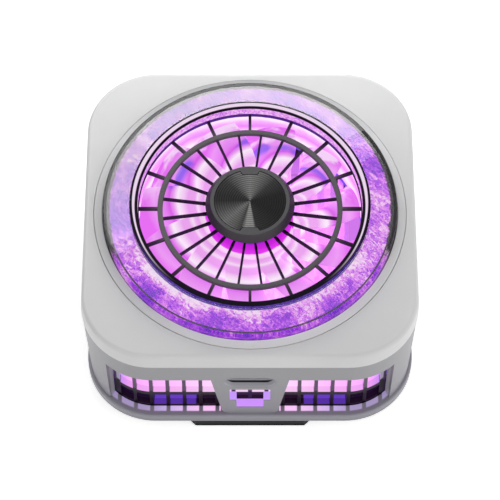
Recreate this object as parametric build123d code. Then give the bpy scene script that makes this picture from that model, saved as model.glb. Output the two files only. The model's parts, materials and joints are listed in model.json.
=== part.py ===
from build123d import *
import math
import os

# Phone cooling fan that clings to the back of a phone by a ring of magnets. Lengths are in millimetres.
# Z = 0 is the underside of the contact pad, +Z points up to the fan grille, and the charging port faces -Y.

# Outline shared by every shell: a rounded square whose corners are concentric
case_half = 32.0
corner_round = 13.5
# Heights of the shells, from the pad up
pad_height = 0.9
foot_height = 2.1
rim_height = 2.85
window_height = 15.15
header_height = 5.6
cover_height = 3.9
# Clearances and one overrun for every cut
fit_gap = 0.1
seat_gap = 0.2
run_gap = 0.4
overrun = 2.0

# Top cover
cover_flare = 0.2
cover_plate = 1.6
cover_wall = 1.3
cover_edge_round = 0.9
bezel_lip_height = 0.6
bezel_lip_reach = 0.75
# Bezel ring and the clear ring inside it
bezel_margin = 1.9
bezel_width = 1.6
bezel_edge_rise = 0.1
bezel_slope = 0.25
lens_width = 5.1
lens_wall = 0.8
lens_rise = 1.9
lens_inner_rise = 1.1
lens_round = 0.5
well_width = 1.6
well_lip_round = 0.25
# Light ring below the lens
led_board_height = 0.8
led_size = 2.0
led_height = 0.6
led_count = 16
diffuser_height = 1.1
diffuser_rise = 0.9
ring_gap = 0.05
# Fan grille and the round cap at its centre
grille_height = 1.7
grille_rise = 0.9
grille_rim = 1.75
rib_height = 0.8
ring_width = 1.0
outer_rib_count = 16
outer_rib_width = 0.55
outer_rib_length = 3.6
inner_rib_count = 24
inner_rib_width = 0.45
rib_foot_width = 0.9
rib_foot_length = 1.0
rib_foot_reach = 0.7
hub_radius = 8.6
hub_neck_inset = 1.4
hub_neck_height = 1.2
hub_wall_height = 1.5
hub_wall_inset = 0.9
hub_rim_width = 0.75
hub_edge_round = 0.15
tab_depth = 1.0
tab_inner_half = 1.4
tab_outer_half = 2.0
hub_plate_height = 0.3
hub_plate_sink = 0.05
hub_seat_reach = 0.2
# Fan duct with its square carrier plate
duct_wall = 1.1
duct_lead_round = 0.5
carrier_height = 1.1
lip_height = 0.9
duct_gap = 0.6
# Impeller
impeller_height = 6.5
impeller_hub_radius = 8.4
impeller_wall = 0.65
impeller_cap = 1.0
impeller_boss_radius = 2.0
impeller_boss_height = 0.8
impeller_hub_round = 0.6
grille_to_fan = 0.8
blade_count = 11
blade_thickness = 0.7
blade_root_angle = 46.0
blade_tip_angle = 28.0
blade_root_camber = 0.9
blade_tip_camber = 1.1
blade_sweep_angle = 16.0
blade_end_margin = 0.35
# Motor
cup_wall = 0.5
magnet_wall = 0.95
magnet_height = 4.4
shaft_radius = 1.0
shaft_clearance = 0.03
sleeve_wall = 0.97
tube_wall = 0.68
tube_below_boss = 0.4
shaft_seat_depth = 0.7
stator_height = 3.0
stator_ring_wall = 0.85
pole_count = 4
pole_width = 1.4
pole_shoe_angle = 62.0
pole_shoe_height = 0.7
coil_wall = 0.7
coil_end_gap = 0.1
motor_plate_height = 1.1
motor_plate_radius = 8.9
strut_width = 1.7
strut_count = 4
strut_turn = 45.0
# Waist shell with its windows and port panel
neck_step = 0.1
neck_taper = 0.6
neck_wall = 2.3
window_draft_angle = 27.5
side_window_inset = 2.5
window_corner_round = 0.8
panel_top_half = 7.45
panel_foot_half = 5.25
panel_corner_round = 1.8
slot_wide_half = 3.9
slot_wide_height = 4.8
slot_narrow_half = 2.6
slot_narrow_height = 3.15
slot_above_sill = 3.0
boss_offset = 3.9
boss_radius = 2.2
boss_web = 1.2
screw_radius = 0.9
screw_head_radius = 1.7
screw_head_height = 0.7
screw_reach = 7.0
pilot_clearance = 0.05
hole_clearance = 0.2
drive_radius = 0.75
drive_depth = 0.4
frame_screw_length = 6.0
# Dark grids behind the windows and the light guides behind them
grid_wall = 1.2
grid_pitch = 3.19
grid_bar = 0.68
grid_sill_rise = 0.55
grid_lower_height = 4.0
grid_middle_bar = 1.25
grid_tuck = 1.8
guide_wall = 1.5
guide_height = 6.0
guide_corner_reach = 7.0
guide_end_gap = 0.5
strip_inset = 2.5
strip_height = 3.0
strip_thickness = 0.3
strip_led_size = 1.6
strip_led_height = 0.7
strip_led_count = 5
# Base tray
rim_proud = 0.1
tray_floor = 1.4
tray_edge_round = 0.9
tray_top_round = 0.35
block_gap = 0.5
block_corner_round = 2.0
sink_boss_radius = 1.6
# Cooling stack
cold_margin = 3.0
cold_recess = 0.1
cold_flange_reach = 1.8
cold_flange_height = 0.8
block_inset = 4.0
block_rise = 1.2
peltier_inset = 1.0
peltier_height = 3.3
ceramic_height = 0.7
pellet_count = 6
pellet_fill_share = 0.55
gasket_reach = 2.4
gasket_round = 2.4
sink_base = 1.8
fin_pitch = 2.6
fin_thickness = 0.8
cross_slot = 1.6
cross_slot_count = 3
sink_screw_radius = 0.8
sink_screw_head_radius = 1.4
sink_screw_head_height = 0.9
sink_head_clearance = 0.5
# Foot that holds the magnets, and the pad under it
foot_inset = 0.6
foot_side_share = 0.341
foot_edge_round = 0.3
magnet_ring_margin = 4.2
magnet_ring_width = 4.4
magnet_ring_height = 1.1
magnet_count = 16
magnet_gap = 0.4
magnet_pocket_gap = 0.2
pad_hole_gap = 0.8
# Charging port and its board
port_width = 8.94
port_height = 3.16
port_depth = 7.3
port_wall = 0.3
port_set_back = 1.7
port_below_window_top = 1.15
recess_gap = 0.25
recess_chamfer = 0.3
tongue_width = 6.7
tongue_height = 0.7
tongue_short = 1.2
board_height = 1.0
board_half_length = 13.5
board_screw_place = 11.5
board_screw_radius = 0.8
board_post_radius = 1.5
board_screw_head_radius = 1.4
board_screw_head_height = 0.8
board_screw_reach = 3.0
chip_half = 2.0
chip_height = 0.9
chip_place = 8.5

# Levels
foot_z = pad_height
tray_z = foot_z + foot_height
sill_z = tray_z + rim_height
window_top = sill_z + window_height
seam_z = window_top + header_height
cover_top = seam_z + cover_height
floor_z = tray_z + tray_floor
lip_z = seam_z + lip_height
carrier_z = lip_z + carrier_height
led_z = carrier_z + led_board_height
grille_z = cover_top + grille_rise
grille_under = grille_z - grille_height
fan_top = grille_under - grille_to_fan
fan_bottom = fan_top - impeller_height
motor_z = fan_bottom - run_gap
motor_under = motor_z - motor_plate_height
sink_top = motor_under - seat_gap
block_z = tray_z + block_rise
hot_z = block_z + peltier_height
fin_root = hot_z + sink_base
port_z = window_top - port_below_window_top
board_z = port_z - port_height / 2
board_under = board_z - board_height
grid_upper_z = sill_z + grid_sill_rise + grid_lower_height + grid_middle_bar
guide_z = grid_upper_z - grid_middle_bar + seat_gap

# Radii and half widths worked out from the sizes above
cover_inner_half = case_half - cover_wall
neck_top_half = case_half + neck_step
neck_foot_half = neck_top_half - neck_taper
neck_inner_half = neck_top_half - neck_wall
grid_half = neck_inner_half - fit_gap
grid_inner_half = grid_half - grid_wall
guide_inner_half = grid_inner_half - guide_wall
rim_half = case_half + rim_proud
arc_centre = case_half - corner_round
bezel_radius = case_half - bezel_margin
lens_outer = bezel_radius - bezel_width - fit_gap
lens_inner = lens_outer - lens_width
well_outer = lens_inner - fit_gap
well_inner = well_outer - well_width
grille_outer = well_outer
grille_opening = grille_outer - grille_rim
ring_outer_radius = grille_opening - outer_rib_length
led_board_inner = lens_inner - fit_gap
duct_outer = led_board_inner - fit_gap
duct_inner = duct_outer - duct_wall
impeller_radius = duct_inner - duct_gap
hub_neck_radius = hub_radius - hub_neck_inset
hub_flat_radius = hub_radius - hub_wall_inset - hub_rim_width
hub_plate_radius = hub_flat_radius - fit_gap
cup_outer = impeller_hub_radius - impeller_wall - ring_gap
magnet_outer = cup_outer - cup_wall - ring_gap
stator_radius = magnet_outer - magnet_wall - run_gap
sleeve_inner = shaft_radius + shaft_clearance
sleeve_outer = sleeve_inner + sleeve_wall
tube_inner = sleeve_outer + ring_gap / 2
tube_outer = tube_inner + tube_wall
stator_bore = tube_outer + ring_gap
port_face = -(neck_top_half - port_set_back)
boss_place = arc_centre + boss_offset
side_window_half = arc_centre - side_window_inset
guide_half_length = arc_centre + guide_corner_reach
side_guide_half_length = side_window_half - guide_end_gap
strip_half_length = side_guide_half_length - strip_inset
sink_half = boss_place - boss_radius - seat_gap
sink_boss_place = sink_half - sink_boss_radius
fin_count = round(2 * sink_half / fin_pitch)
block_half = sink_half - block_inset
peltier_half = block_half - peltier_inset
foot_half = case_half - foot_inset
foot_side_half = foot_side_share * foot_half
magnet_ring_inner = foot_half - magnet_ring_margin - magnet_ring_width
cold_radius = magnet_ring_inner - cold_margin


def outline(half):
    # Rounded square, with its corners on the same centres for every size
    return RectangleRounded(2 * half, 2 * half, corner_round + half - case_half)


def square_block(half, bottom, top):
    return extrude(Pos(0, 0, bottom) * outline(half), top - bottom)


def band(outer_half, inner_half, bottom, top):
    return square_block(outer_half, bottom, top) - square_block(inner_half, bottom - overrun, top + overrun)


def cylinder(radius, bottom, top, place=(0, 0)):
    return extrude(Pos(place[0], place[1], bottom) * Circle(radius), top - bottom)


def tube(outer, inner, bottom, top, place=(0, 0)):
    ring = Pos(place[0], place[1], bottom) * (Circle(outer) - Circle(inner))
    return extrude(ring, top - bottom)


def box(x0, x1, y0, y1, z0, z1):
    block = Box(x1 - x0, y1 - y0, z1 - z0)
    return Pos((x0 + x1) / 2, (y0 + y1) / 2, (z0 + z1) / 2) * block


def turned(points):
    # Solid of revolution about Z from (radius, height) points
    corners = [(radius, 0, height) for radius, height in points]
    return revolve(make_face(Polyline(*corners, close=True)), axis=Axis.Z)


def around(piece, count, start=0.0):
    return [Rot(0, 0, start + 360 * index / count) * piece for index in range(count)]


def corners_of(place):
    return [(x * place, y * place) for x in (-1, 1) for y in (-1, 1)]


def circle_edges(piece, height, radius):
    # Circular edges of about this radius at this height
    found = piece.edges().filter_by(GeomType.CIRCLE)
    found = [edge for edge in found if abs(edge.center().Z - height) < fit_gap / 2]
    return ShapeList([edge for edge in found if abs(edge.radius - radius) < fit_gap / 2])


def save(node, shape):
    shape.label = node
    export_step(shape, os.path.join("parts", node + ".step"))


def save_group(node, pieces):
    save(node, Compound(children=list(pieces)))


def make_top_cover():
    # Shell with a flared wall, a filleted shoulder and a stepped round hole that seats the bezel
    low = Pos(0, 0, seam_z) * outline(case_half + cover_flare)
    high = Pos(0, 0, cover_top) * outline(case_half)
    shell = loft([low, high], ruled=True)
    shell = fillet(shell.faces().sort_by(Axis.Z)[-1].edges(), cover_edge_round)
    shell -= square_block(cover_inner_half, seam_z - overrun, cover_top - cover_plate)
    hole = bezel_radius + fit_gap
    shell -= cylinder(hole, cover_top - cover_plate + bezel_lip_height, cover_top + overrun)
    shell -= cylinder(hole - bezel_lip_reach, seam_z, cover_top)
    return shell


def make_bezel_ring():
    inner = bezel_radius - bezel_width
    seat = cover_top - cover_plate + bezel_lip_height
    edge = cover_top + bezel_edge_rise
    ring = turned([(inner, seat), (bezel_radius, seat), (bezel_radius, edge), (inner, edge + bezel_slope)])
    return fillet(circle_edges(ring, edge, bezel_radius), bezel_edge_rise)


def make_crystal_lens():
    # Clear ring, a channel that opens downwards over the light ring
    crest = cover_top + lens_rise
    rim = crest + lens_inner_rise
    wall_in = lens_inner + lens_wall
    wall_out = lens_outer - lens_wall
    lens = turned([
        (lens_inner, led_z), (wall_in, led_z), (wall_in, rim - lens_wall), (wall_out, crest - lens_wall),
        (wall_out, led_z), (lens_outer, led_z), (lens_outer, crest), (lens_inner, rim),
    ])
    return fillet(circle_edges(lens, crest, lens_outer), lens_round)


def make_well_ring():
    # Clear collar that lines the well over the grille
    top = cover_top + lens_rise + lens_inner_rise
    ring = tube(well_outer, well_inner, grille_z, top)
    return fillet(circle_edges(ring, top, well_outer) + circle_edges(ring, top, well_inner), well_lip_round)


def make_ice_diffuser():
    # Milky ring whose top rises inwards as the lens does
    low = led_z + led_height + fit_gap
    high = low + diffuser_height
    outer = lens_outer - lens_wall - fit_gap
    inner = lens_inner + lens_wall + fit_gap
    return turned([(inner, low), (outer, low), (outer, high), (inner, high + diffuser_rise)])


def make_led_board():
    return tube(lens_outer, led_board_inner, carrier_z, led_z)


def make_led_chips():
    place = (lens_outer + lens_inner) / 2
    half = led_size / 2
    chip = box(place - half, place + half, -half, half, led_z, led_z + led_height)
    return around(chip, led_count)


def make_fan_grille():
    # Rim with an inner lip, and two rings of ribs: few outside the middle ring, many inside it
    low = grille_z - rib_height
    rim = tube(grille_outer, duct_inner, grille_under, grille_z)
    lip = tube(grille_outer, grille_opening, low, grille_z)
    middle = tube(ring_outer_radius, ring_outer_radius - ring_width, low, grille_z)
    hub = cylinder(hub_neck_radius + hub_seat_reach, low, grille_z)
    ring_centre = ring_outer_radius - ring_width / 2
    reach = grille_rim / 2
    half = outer_rib_width / 2
    outer_rib = box(ring_centre, grille_opening + reach, -half, half, low, grille_z)
    half = inner_rib_width / 2
    inner_rib = box(hub_neck_radius - reach, ring_centre, -half, half, low, grille_z)
    half = rib_foot_width / 2
    foot_end = hub_radius + rib_foot_reach
    inner_rib += box(foot_end - rib_foot_length, foot_end, -half, half, low, grille_z)
    ribs = around(outer_rib, outer_rib_count)
    ribs += around(inner_rib, inner_rib_count, 180 / inner_rib_count)
    return rim.fuse(lip, middle, hub, *ribs).clean()


def tab_plan(gap):
    # Plan of two tapered tabs on the rim, at the front and the back
    inner = hub_flat_radius - tab_depth - gap
    corners = [
        (-tab_inner_half - gap, inner), (tab_inner_half + gap, inner),
        (tab_outer_half + gap, hub_flat_radius), (-tab_outer_half - gap, hub_flat_radius),
    ]
    tab = make_face(Polyline(*corners, close=True))
    return tab + Rot(0, 0, 180) * tab


def make_hub_cap():
    # Cap on a narrower neck, with a sloping wall and a pocket for the metal plate
    eaves = grille_z + hub_neck_height
    top = eaves + hub_wall_height
    shoulder = hub_radius - hub_wall_inset
    cap = turned([
        (0, grille_z), (hub_neck_radius, grille_z), (hub_neck_radius, eaves), (hub_radius, eaves),
        (shoulder, top), (0, top),
    ])
    cap = fillet(circle_edges(cap, top, shoulder), hub_edge_round)
    depth = hub_plate_height + hub_plate_sink
    pocket = Circle(hub_flat_radius) - tab_plan(0)
    return cap - extrude(Pos(0, 0, top - depth) * pocket, depth + overrun)


def make_hub_plate():
    top = grille_z + hub_neck_height + hub_wall_height - hub_plate_sink
    plan = Circle(hub_plate_radius) - tab_plan(fit_gap)
    return extrude(Pos(0, 0, top - hub_plate_height) * plan, hub_plate_height)


def make_fan_duct():
    # Round duct with a lead-in, hung from a square plate that rests on the waist shell
    plate = square_block(cover_inner_half - fit_gap, lip_z, carrier_z)
    shape = plate + cylinder(duct_outer, motor_z, grille_under)
    for x in (-board_screw_place, board_screw_place):
        shape += cylinder(board_post_radius, board_z, lip_z, (x, board_post_y))
    shape -= cylinder(duct_inner, motor_z - overrun, grille_under + overrun)
    shape = chamfer(circle_edges(shape, grille_under, duct_inner), duct_lead_round)
    for x in (-board_screw_place, board_screw_place):
        reach = board_z + board_screw_reach + fit_gap
        shape -= cylinder(board_screw_radius + pilot_clearance, board_z - overrun, reach, (x, board_post_y))
    for place in corners_of(boss_place):
        shape -= sunk_hole(place, lip_z, carrier_z)
    return shape


def sunk_hole(place, bottom, top):
    # Through hole with a countersink for a frame screw
    hole = cylinder(screw_radius + hole_clearance, bottom - overrun, top + overrun, place)
    cone = Pos(place[0], place[1], top - screw_head_height / 2) * Cone(
        screw_radius + hole_clearance, screw_head_radius + hole_clearance, screw_head_height)
    return hole + cone


def blade_section(radius, angle, chord, camber, turn):
    # Thin cambered strip on a plane square to the radius
    half = chord / 2
    part = blade_thickness / 2
    top = ThreePointArc((-half, part / 2), (0, camber + part), (half, part / 2))
    low = ThreePointArc((-half, -part / 2), (0, camber - part), (half, -part / 2))
    ends = [Line(top @ 0, low @ 0), Line(top @ 1, low @ 1)]
    face = make_face([top, low] + ends)
    middle = (fan_top + fan_bottom) / 2
    plane = Plane(origin=(radius, 0, middle), x_dir=(0, 1, 0), z_dir=(1, 0, 0))
    return Rot(0, 0, turn) * (plane * (Rot(0, 0, -angle) * face))


def blade_chord(angle):
    room = impeller_height - 2 * blade_end_margin
    return room / math.sin(math.radians(angle))


def make_impeller():
    # Swept, twisted blades on a cup that takes the steel rotor cup
    inner = impeller_hub_radius - impeller_wall
    tip = impeller_radius + blade_thickness
    middle = (inner + tip) / 2
    middle_angle = (blade_root_angle + blade_tip_angle) / 2
    middle_camber = (blade_root_camber + blade_tip_camber) / 2
    root = inner + impeller_wall / 2
    sections = [
        blade_section(root, blade_root_angle, blade_chord(blade_root_angle), blade_root_camber, 0),
        blade_section(middle, middle_angle, blade_chord(middle_angle), middle_camber,
                      blade_sweep_angle / 3),
        blade_section(tip, blade_tip_angle, blade_chord(blade_tip_angle), blade_tip_camber,
                      blade_sweep_angle),
    ]
    blade = loft(sections)
    limit = tube(impeller_radius, inner + impeller_wall / 2, fan_bottom, fan_top)
    blade = blade & limit
    hub = cylinder(impeller_hub_radius, fan_bottom, fan_top)
    hub = fillet(circle_edges(hub, fan_top, impeller_hub_radius), impeller_hub_round)
    hub -= cylinder(inner, fan_bottom - overrun, fan_top - impeller_cap)
    boss_end = fan_top - impeller_cap - impeller_boss_height
    hub += cylinder(impeller_boss_radius, boss_end, fan_top - impeller_cap)
    hub -= cylinder(shaft_radius + shaft_clearance / 2, boss_end - overrun, shaft_top)
    return hub.fuse(*around(blade, blade_count)).clean()


def make_rotor_cup():
    roof = fan_top - impeller_cap - ring_gap
    cup = cylinder(cup_outer, fan_bottom + ring_gap, roof)
    cup -= cylinder(cup_outer - cup_wall, fan_bottom - overrun, roof - cup_wall)
    return cup - cylinder(impeller_boss_radius + fit_gap, fan_bottom, fan_top)


def make_rotor_magnet():
    top = fan_top - impeller_cap - cup_wall - 2 * ring_gap
    return tube(magnet_outer, magnet_outer - magnet_wall, top - magnet_height, top)


def make_fan_shaft():
    shaft = cylinder(shaft_radius, motor_z + seat_gap, shaft_top - ring_gap)
    return chamfer(shaft.edges().filter_by(GeomType.CIRCLE), shaft_radius / 5)


def make_bearing_sleeve():
    return tube(sleeve_outer, sleeve_inner, motor_z + ring_gap, tube_top - ring_gap)


def make_motor_mount():
    # Plate and bearing tube on struts inside a ring that closes the foot of the duct
    shape = tube(duct_outer, duct_inner, motor_under, motor_z)
    shape += cylinder(motor_plate_radius, motor_under, motor_z)
    half = strut_width / 2
    strut = box(motor_plate_radius - half, duct_inner + duct_wall / 2, -half, half, motor_under, motor_z)
    shape = shape.fuse(*around(strut, strut_count, strut_turn))
    shape += cylinder(tube_outer, motor_z, tube_top)
    return (shape - cylinder(tube_inner, motor_z, tube_top + overrun)).clean()


def make_stator():
    # Laminated core with T shaped poles
    ring = Circle(stator_bore + stator_ring_wall) - Circle(stator_bore)
    pole = Pos((stator_bore + stator_radius) / 2 + stator_ring_wall / 4, 0) * Rectangle(
        stator_radius - stator_bore - stator_ring_wall / 2, pole_width)
    rim = Circle(stator_radius) - Circle(stator_radius - pole_shoe_height)
    reach = 2 * stator_radius
    half = math.radians(pole_shoe_angle / 2)
    sector = make_face(Polyline(
        (0, 0), (reach * math.cos(half), -reach * math.sin(half)),
        (reach * math.cos(half), reach * math.sin(half)), close=True))
    shoe = rim & sector
    core = ring
    for index in range(pole_count):
        core += Rot(0, 0, 360 * index / pole_count) * (pole & Circle(stator_radius))
        core += Rot(0, 0, 360 * index / pole_count) * shoe
    return extrude(Pos(0, 0, stator_z) * core, stator_height)


def make_coils():
    # One winding around the neck of each pole
    inner = stator_bore + stator_ring_wall + coil_end_gap
    half = pole_width / 2 + ring_gap
    outer = math.sqrt((stator_radius - pole_shoe_height) ** 2 - (half + coil_wall) ** 2) - coil_end_gap
    low = stator_z - ring_gap
    high = stator_z + stator_height + ring_gap
    coil = box(inner, outer, -half - coil_wall, half + coil_wall, low - coil_wall, high + coil_wall)
    coil = fillet(coil.edges().filter_by(Axis.X), coil_wall / 2)
    coil -= box(inner - overrun, outer + overrun, -half, half, low, high)
    return around(coil, pole_count)


def face_wedge():
    # Plan of what a window pair cuts from the front face, drafted at the corner posts
    reach = arc_centre + (neck_inner_half - arc_centre) / math.sqrt(2)
    slope = math.tan(math.radians(window_draft_angle))
    back = reach - overrun / 2
    front = neck_top_half + overrun
    back_x = reach - slope * (reach - back)
    front_x = reach + slope * (front - reach)
    return make_face(Polyline(
        (-back_x, -back), (-front_x, -front), (front_x, -front), (back_x, -back), close=True))


def make_panel_block():
    # Tapered panel that stands between the two windows of a face
    depth = neck_top_half + 2 * overrun
    corners = [
        (-panel_top_half, window_top), (-panel_foot_half, sill_z),
        (panel_foot_half, sill_z), (panel_top_half, window_top),
    ]
    face = make_face(Polyline(*[(x, 0, z) for x, z in corners], close=True))
    feet = [v for v in face.vertices() if abs(v.Z - sill_z) < fit_gap]
    face = fillet(ShapeList(feet), panel_corner_round)
    return extrude(face, depth, dir=(0, -1, 0))


def slot_cut():
    # T shaped light slot in the port panel
    low = sill_z + slot_above_sill
    middle = low + slot_narrow_height
    front = -(neck_top_half + overrun)
    back = -(neck_inner_half - overrun)
    cut = box(-slot_narrow_half, slot_narrow_half, front, back, low, middle + slot_wide_height)
    return cut + box(-slot_wide_half, slot_wide_half, front, back, middle, middle + slot_wide_height)


def stadium(width, height):
    # Upright face of a port opening, seen from the front
    face = RectangleRounded(width, height, height / 2 - ring_gap)
    return Plane(origin=(0, 0, port_z), x_dir=(1, 0, 0), z_dir=(0, -1, 0)) * face


def port_cut():
    wide = port_width + 2 * recess_gap
    tall = port_height + 2 * recess_gap
    reach = neck_top_half + overrun
    cut = extrude(stadium(wide, tall), reach)
    surface = neck_foot_half + neck_taper * (port_z - sill_z) / (seam_z - sill_z)
    mouth = stadium(wide + 4 * recess_chamfer, tall + 4 * recess_chamfer)
    inner = Pos(0, -surface + recess_chamfer, 0) * stadium(wide, tall)
    outer = Pos(0, -surface - recess_chamfer, 0) * mouth
    return cut + loft([inner, outer], ruled=True)


def make_waist_shell():
    # Wall below the cover with exhaust windows on every side and the port panel in front
    foot = Pos(0, 0, sill_z) * outline(neck_foot_half)
    head = Pos(0, 0, seam_z) * outline(neck_top_half)
    shell = loft([foot, head], ruled=True)
    shell += square_block(cover_inner_half - fit_gap, seam_z - header_height / 2, lip_z)
    shell -= square_block(neck_inner_half, sill_z - overrun, lip_z + overrun)
    cut_foot = sill_z - overrun
    wedge = extrude(Pos(0, 0, cut_foot) * face_wedge(), window_top - cut_foot)
    wedge -= make_panel_block()
    shell -= wedge
    shell -= Rot(0, 0, 180) * wedge
    half = side_window_half
    side = box(neck_inner_half - overrun, neck_top_half + overrun, -half, half, cut_foot, window_top)
    side = fillet(side.faces().sort_by(Axis.Z)[-1].edges().filter_by(Axis.X), window_corner_round)
    shell -= side
    shell -= Rot(0, 0, 180) * side
    shell -= slot_cut()
    shell -= port_cut()
    for x, y in corners_of(boss_place):
        boss = cylinder(boss_radius, floor_z + ring_gap, lip_z, (x, y))
        reach = math.copysign(neck_inner_half - arc_centre, x)
        turn = math.asin((boss_place - arc_centre) / abs(reach))
        x_end = math.copysign(arc_centre, x) + reach * math.cos(turn)
        x_end += math.copysign(neck_wall / 4, x)
        half = boss_web / 2
        boss += box(min(x, x_end), max(x, x_end), y - half, y + half, sill_z, lip_z - lip_height)
        pilot = screw_radius + pilot_clearance
        boss -= cylinder(pilot, floor_z - overrun, floor_z + screw_reach + fit_gap, (x, y))
        boss -= cylinder(pilot, lip_z - frame_screw_length, lip_z + overrun, (x, y))
        shell += boss
    return shell


def sector_of(face_turn):
    # Quarter of the plan that belongs to one face
    reach = 2 * case_half
    wedge = make_face(Polyline((0, 0), (-reach, -reach), (reach, -reach), close=True))
    return Rot(0, 0, face_turn) * wedge


def grid_openings(count, low, high):
    # Row of openings between bars at a steady pitch, cut along Y
    cuts = []
    for index in range(-count, count):
        x0 = index * grid_pitch + grid_bar / 2
        x1 = (index + 1) * grid_pitch - grid_bar / 2
        cuts.append(box(x0, x1, -neck_top_half, -arc_centre, low, high))
    return cuts


def make_grid(turn, count, half_length, with_port=False):
    low = floor_z + ring_gap
    high = window_top + grid_tuck
    grid = band(grid_half, grid_inner_half, low, high)
    if half_length:
        grid = grid & box(-half_length, half_length, -case_half, 0, low, high)
    else:
        grid = grid & extrude(Pos(0, 0, low) * sector_of(0), high - low)
    lower = sill_z + grid_sill_rise
    cuts = grid_openings(count, lower, lower + grid_lower_height)
    cuts += grid_openings(count, grid_upper_z, window_top)
    grid = grid.cut(*cuts)
    if with_port:
        half = port_width / 2 + seat_gap
        grid -= box(-half, half, -case_half, 0, board_z - seat_gap / 2, high + overrun)
    return Rot(0, 0, turn) * grid


def make_guide(turn, half_length):
    # Milky bar that lights the upper row of openings
    guide = band(grid_inner_half, guide_inner_half, guide_z, guide_z + guide_height)
    guide = guide & box(-half_length, half_length, -case_half, 0, guide_z, guide_z + guide_height)
    return Rot(0, 0, turn) * guide


def make_strip(turn):
    # Thin strip with its lamps, on the inner face of a guide
    face = -guide_inner_half
    low = guide_z + (guide_height - strip_height) / 2
    back = face + strip_thickness
    strip = box(-strip_half_length, strip_half_length, face, back, low, low + strip_height)
    step = 2 * strip_half_length / strip_led_count
    half = strip_led_size / 2
    middle = low + strip_height / 2
    for index in range(strip_led_count):
        x = -strip_half_length + step * (index + 0.5)
        strip += box(x - half, x + half, back, back + strip_led_height, middle - half, middle + half)
    return Rot(0, 0, turn) * strip


def make_base_tray():
    # Shallow tray whose rim is the sill of the windows
    tray = square_block(rim_half, tray_z, sill_z)
    tray = fillet(tray.faces().sort_by(Axis.Z)[0].edges(), tray_edge_round)
    tray = fillet(tray.faces().sort_by(Axis.Z)[-1].edges(), tray_top_round)
    tray -= square_block(neck_inner_half, floor_z, sill_z + overrun)
    opening = 2 * (block_half + block_gap)
    cut = Pos(0, 0, tray_z - overrun) * RectangleRounded(opening, opening, block_corner_round)
    tray -= extrude(cut, tray_floor + 2 * overrun)
    for place in corners_of(boss_place):
        tray -= cylinder(screw_radius + hole_clearance, tray_z - overrun, sill_z, place)
        seat = tray_z + screw_head_height
        tray -= cylinder(screw_head_radius + hole_clearance, tray_z - overrun, seat, place)
    for place in corners_of(sink_boss_place):
        tray += cylinder(sink_boss_radius, floor_z, hot_z, place)
        tray -= cylinder(sink_screw_radius + pilot_clearance, floor_z, hot_z + overrun, place)
    return tray


def make_cold_plate():
    flange = cold_radius + cold_flange_reach
    top = tray_z - fit_gap
    plate = cylinder(cold_radius, cold_recess, top)
    plate += cylinder(flange, top - cold_flange_height, top)
    side = 2 * block_half
    block = extrude(Pos(0, 0, top) * RectangleRounded(side, side, block_corner_round), block_z - top)
    return plate + block


def make_peltier():
    # Two ceramic plates with a square field of pellets between them
    half = peltier_half
    low = box(-half, half, -half, half, block_z, block_z + ceramic_height)
    high = box(-half, half, -half, half, hot_z - ceramic_height, hot_z)
    step = 2 * (half - ceramic_height) / pellet_count
    side = step * pellet_fill_share / 2
    pellets = []
    for row in range(pellet_count):
        for column in range(pellet_count):
            x = (row + 0.5 - pellet_count / 2) * step
            y = (column + 0.5 - pellet_count / 2) * step
            low_z = block_z + ceramic_height
            pellets.append(box(x - side, x + side, y - side, y + side, low_z, hot_z - ceramic_height))
    return low.fuse(high, *pellets).clean()


def make_gasket():
    # Foam frame that keeps the hot side and the cold side apart
    outer = 2 * (peltier_half + gasket_reach)
    inner = 2 * (peltier_half + seat_gap)
    frame = RectangleRounded(outer, outer, gasket_round) - Rectangle(inner, inner)
    return extrude(Pos(0, 0, floor_z) * frame, hot_z - floor_z)


def make_heat_sink():
    # Fins in blocks, so that air leaves on all four sides, with a pocket over each screw
    half = sink_half
    sink = box(-half, half, -half, half, hot_z, sink_top)
    gaps = []
    gap = fin_pitch - fin_thickness
    for index in range(fin_count + 1):
        x = (index - fin_count / 2) * fin_pitch
        left = x - gap / 2
        reach = half + overrun
        gaps.append(box(left, left + gap, -reach, reach, fin_root, sink_top + overrun))
    step = 2 * half / (cross_slot_count + 1)
    for index in range(cross_slot_count):
        y = (index + 1) * step - half
        slot = cross_slot / 2
        gaps.append(box(-half - overrun, half + overrun, y - slot, y + slot, fin_root, sink_top + overrun))
    for place in corners_of(sink_boss_place):
        pocket = sink_screw_head_radius + sink_head_clearance
        gaps.append(cylinder(pocket, fin_root, sink_top + overrun, place))
        gaps.append(cylinder(sink_screw_radius + hole_clearance, hot_z - overrun, sink_top, place))
    return sink.cut(*gaps)


def octagon():
    # Square with its corners cut at 45 degrees
    corners = [(foot_side_half, foot_half), (foot_half, foot_side_half)]
    points = []
    for turn in range(4):
        for x, y in corners:
            spin = -math.pi / 2 * turn
            across = x * math.cos(spin) - y * math.sin(spin)
            points.append((across, x * math.sin(spin) + y * math.cos(spin)))
    return make_face(Polyline(*points, close=True))


def make_magnet_foot():
    # Black foot: a hole for the cold plate, a step for its flange and a groove for the magnets
    foot = extrude(Pos(0, 0, foot_z) * octagon(), foot_height)
    foot = fillet(foot.edges().filter_by(Axis.Z), foot_edge_round)
    flange = cold_radius + cold_flange_reach + seat_gap
    foot -= cylinder(cold_radius + seat_gap, 0, tray_z + overrun)
    foot -= cylinder(flange, tray_z - fit_gap - cold_flange_height, tray_z + overrun)
    outer = magnet_ring_inner + magnet_ring_width + magnet_pocket_gap
    floor = tray_z - magnet_ring_height - magnet_pocket_gap
    return foot - tube(outer, magnet_ring_inner - magnet_pocket_gap, floor, tray_z + overrun)


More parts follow.
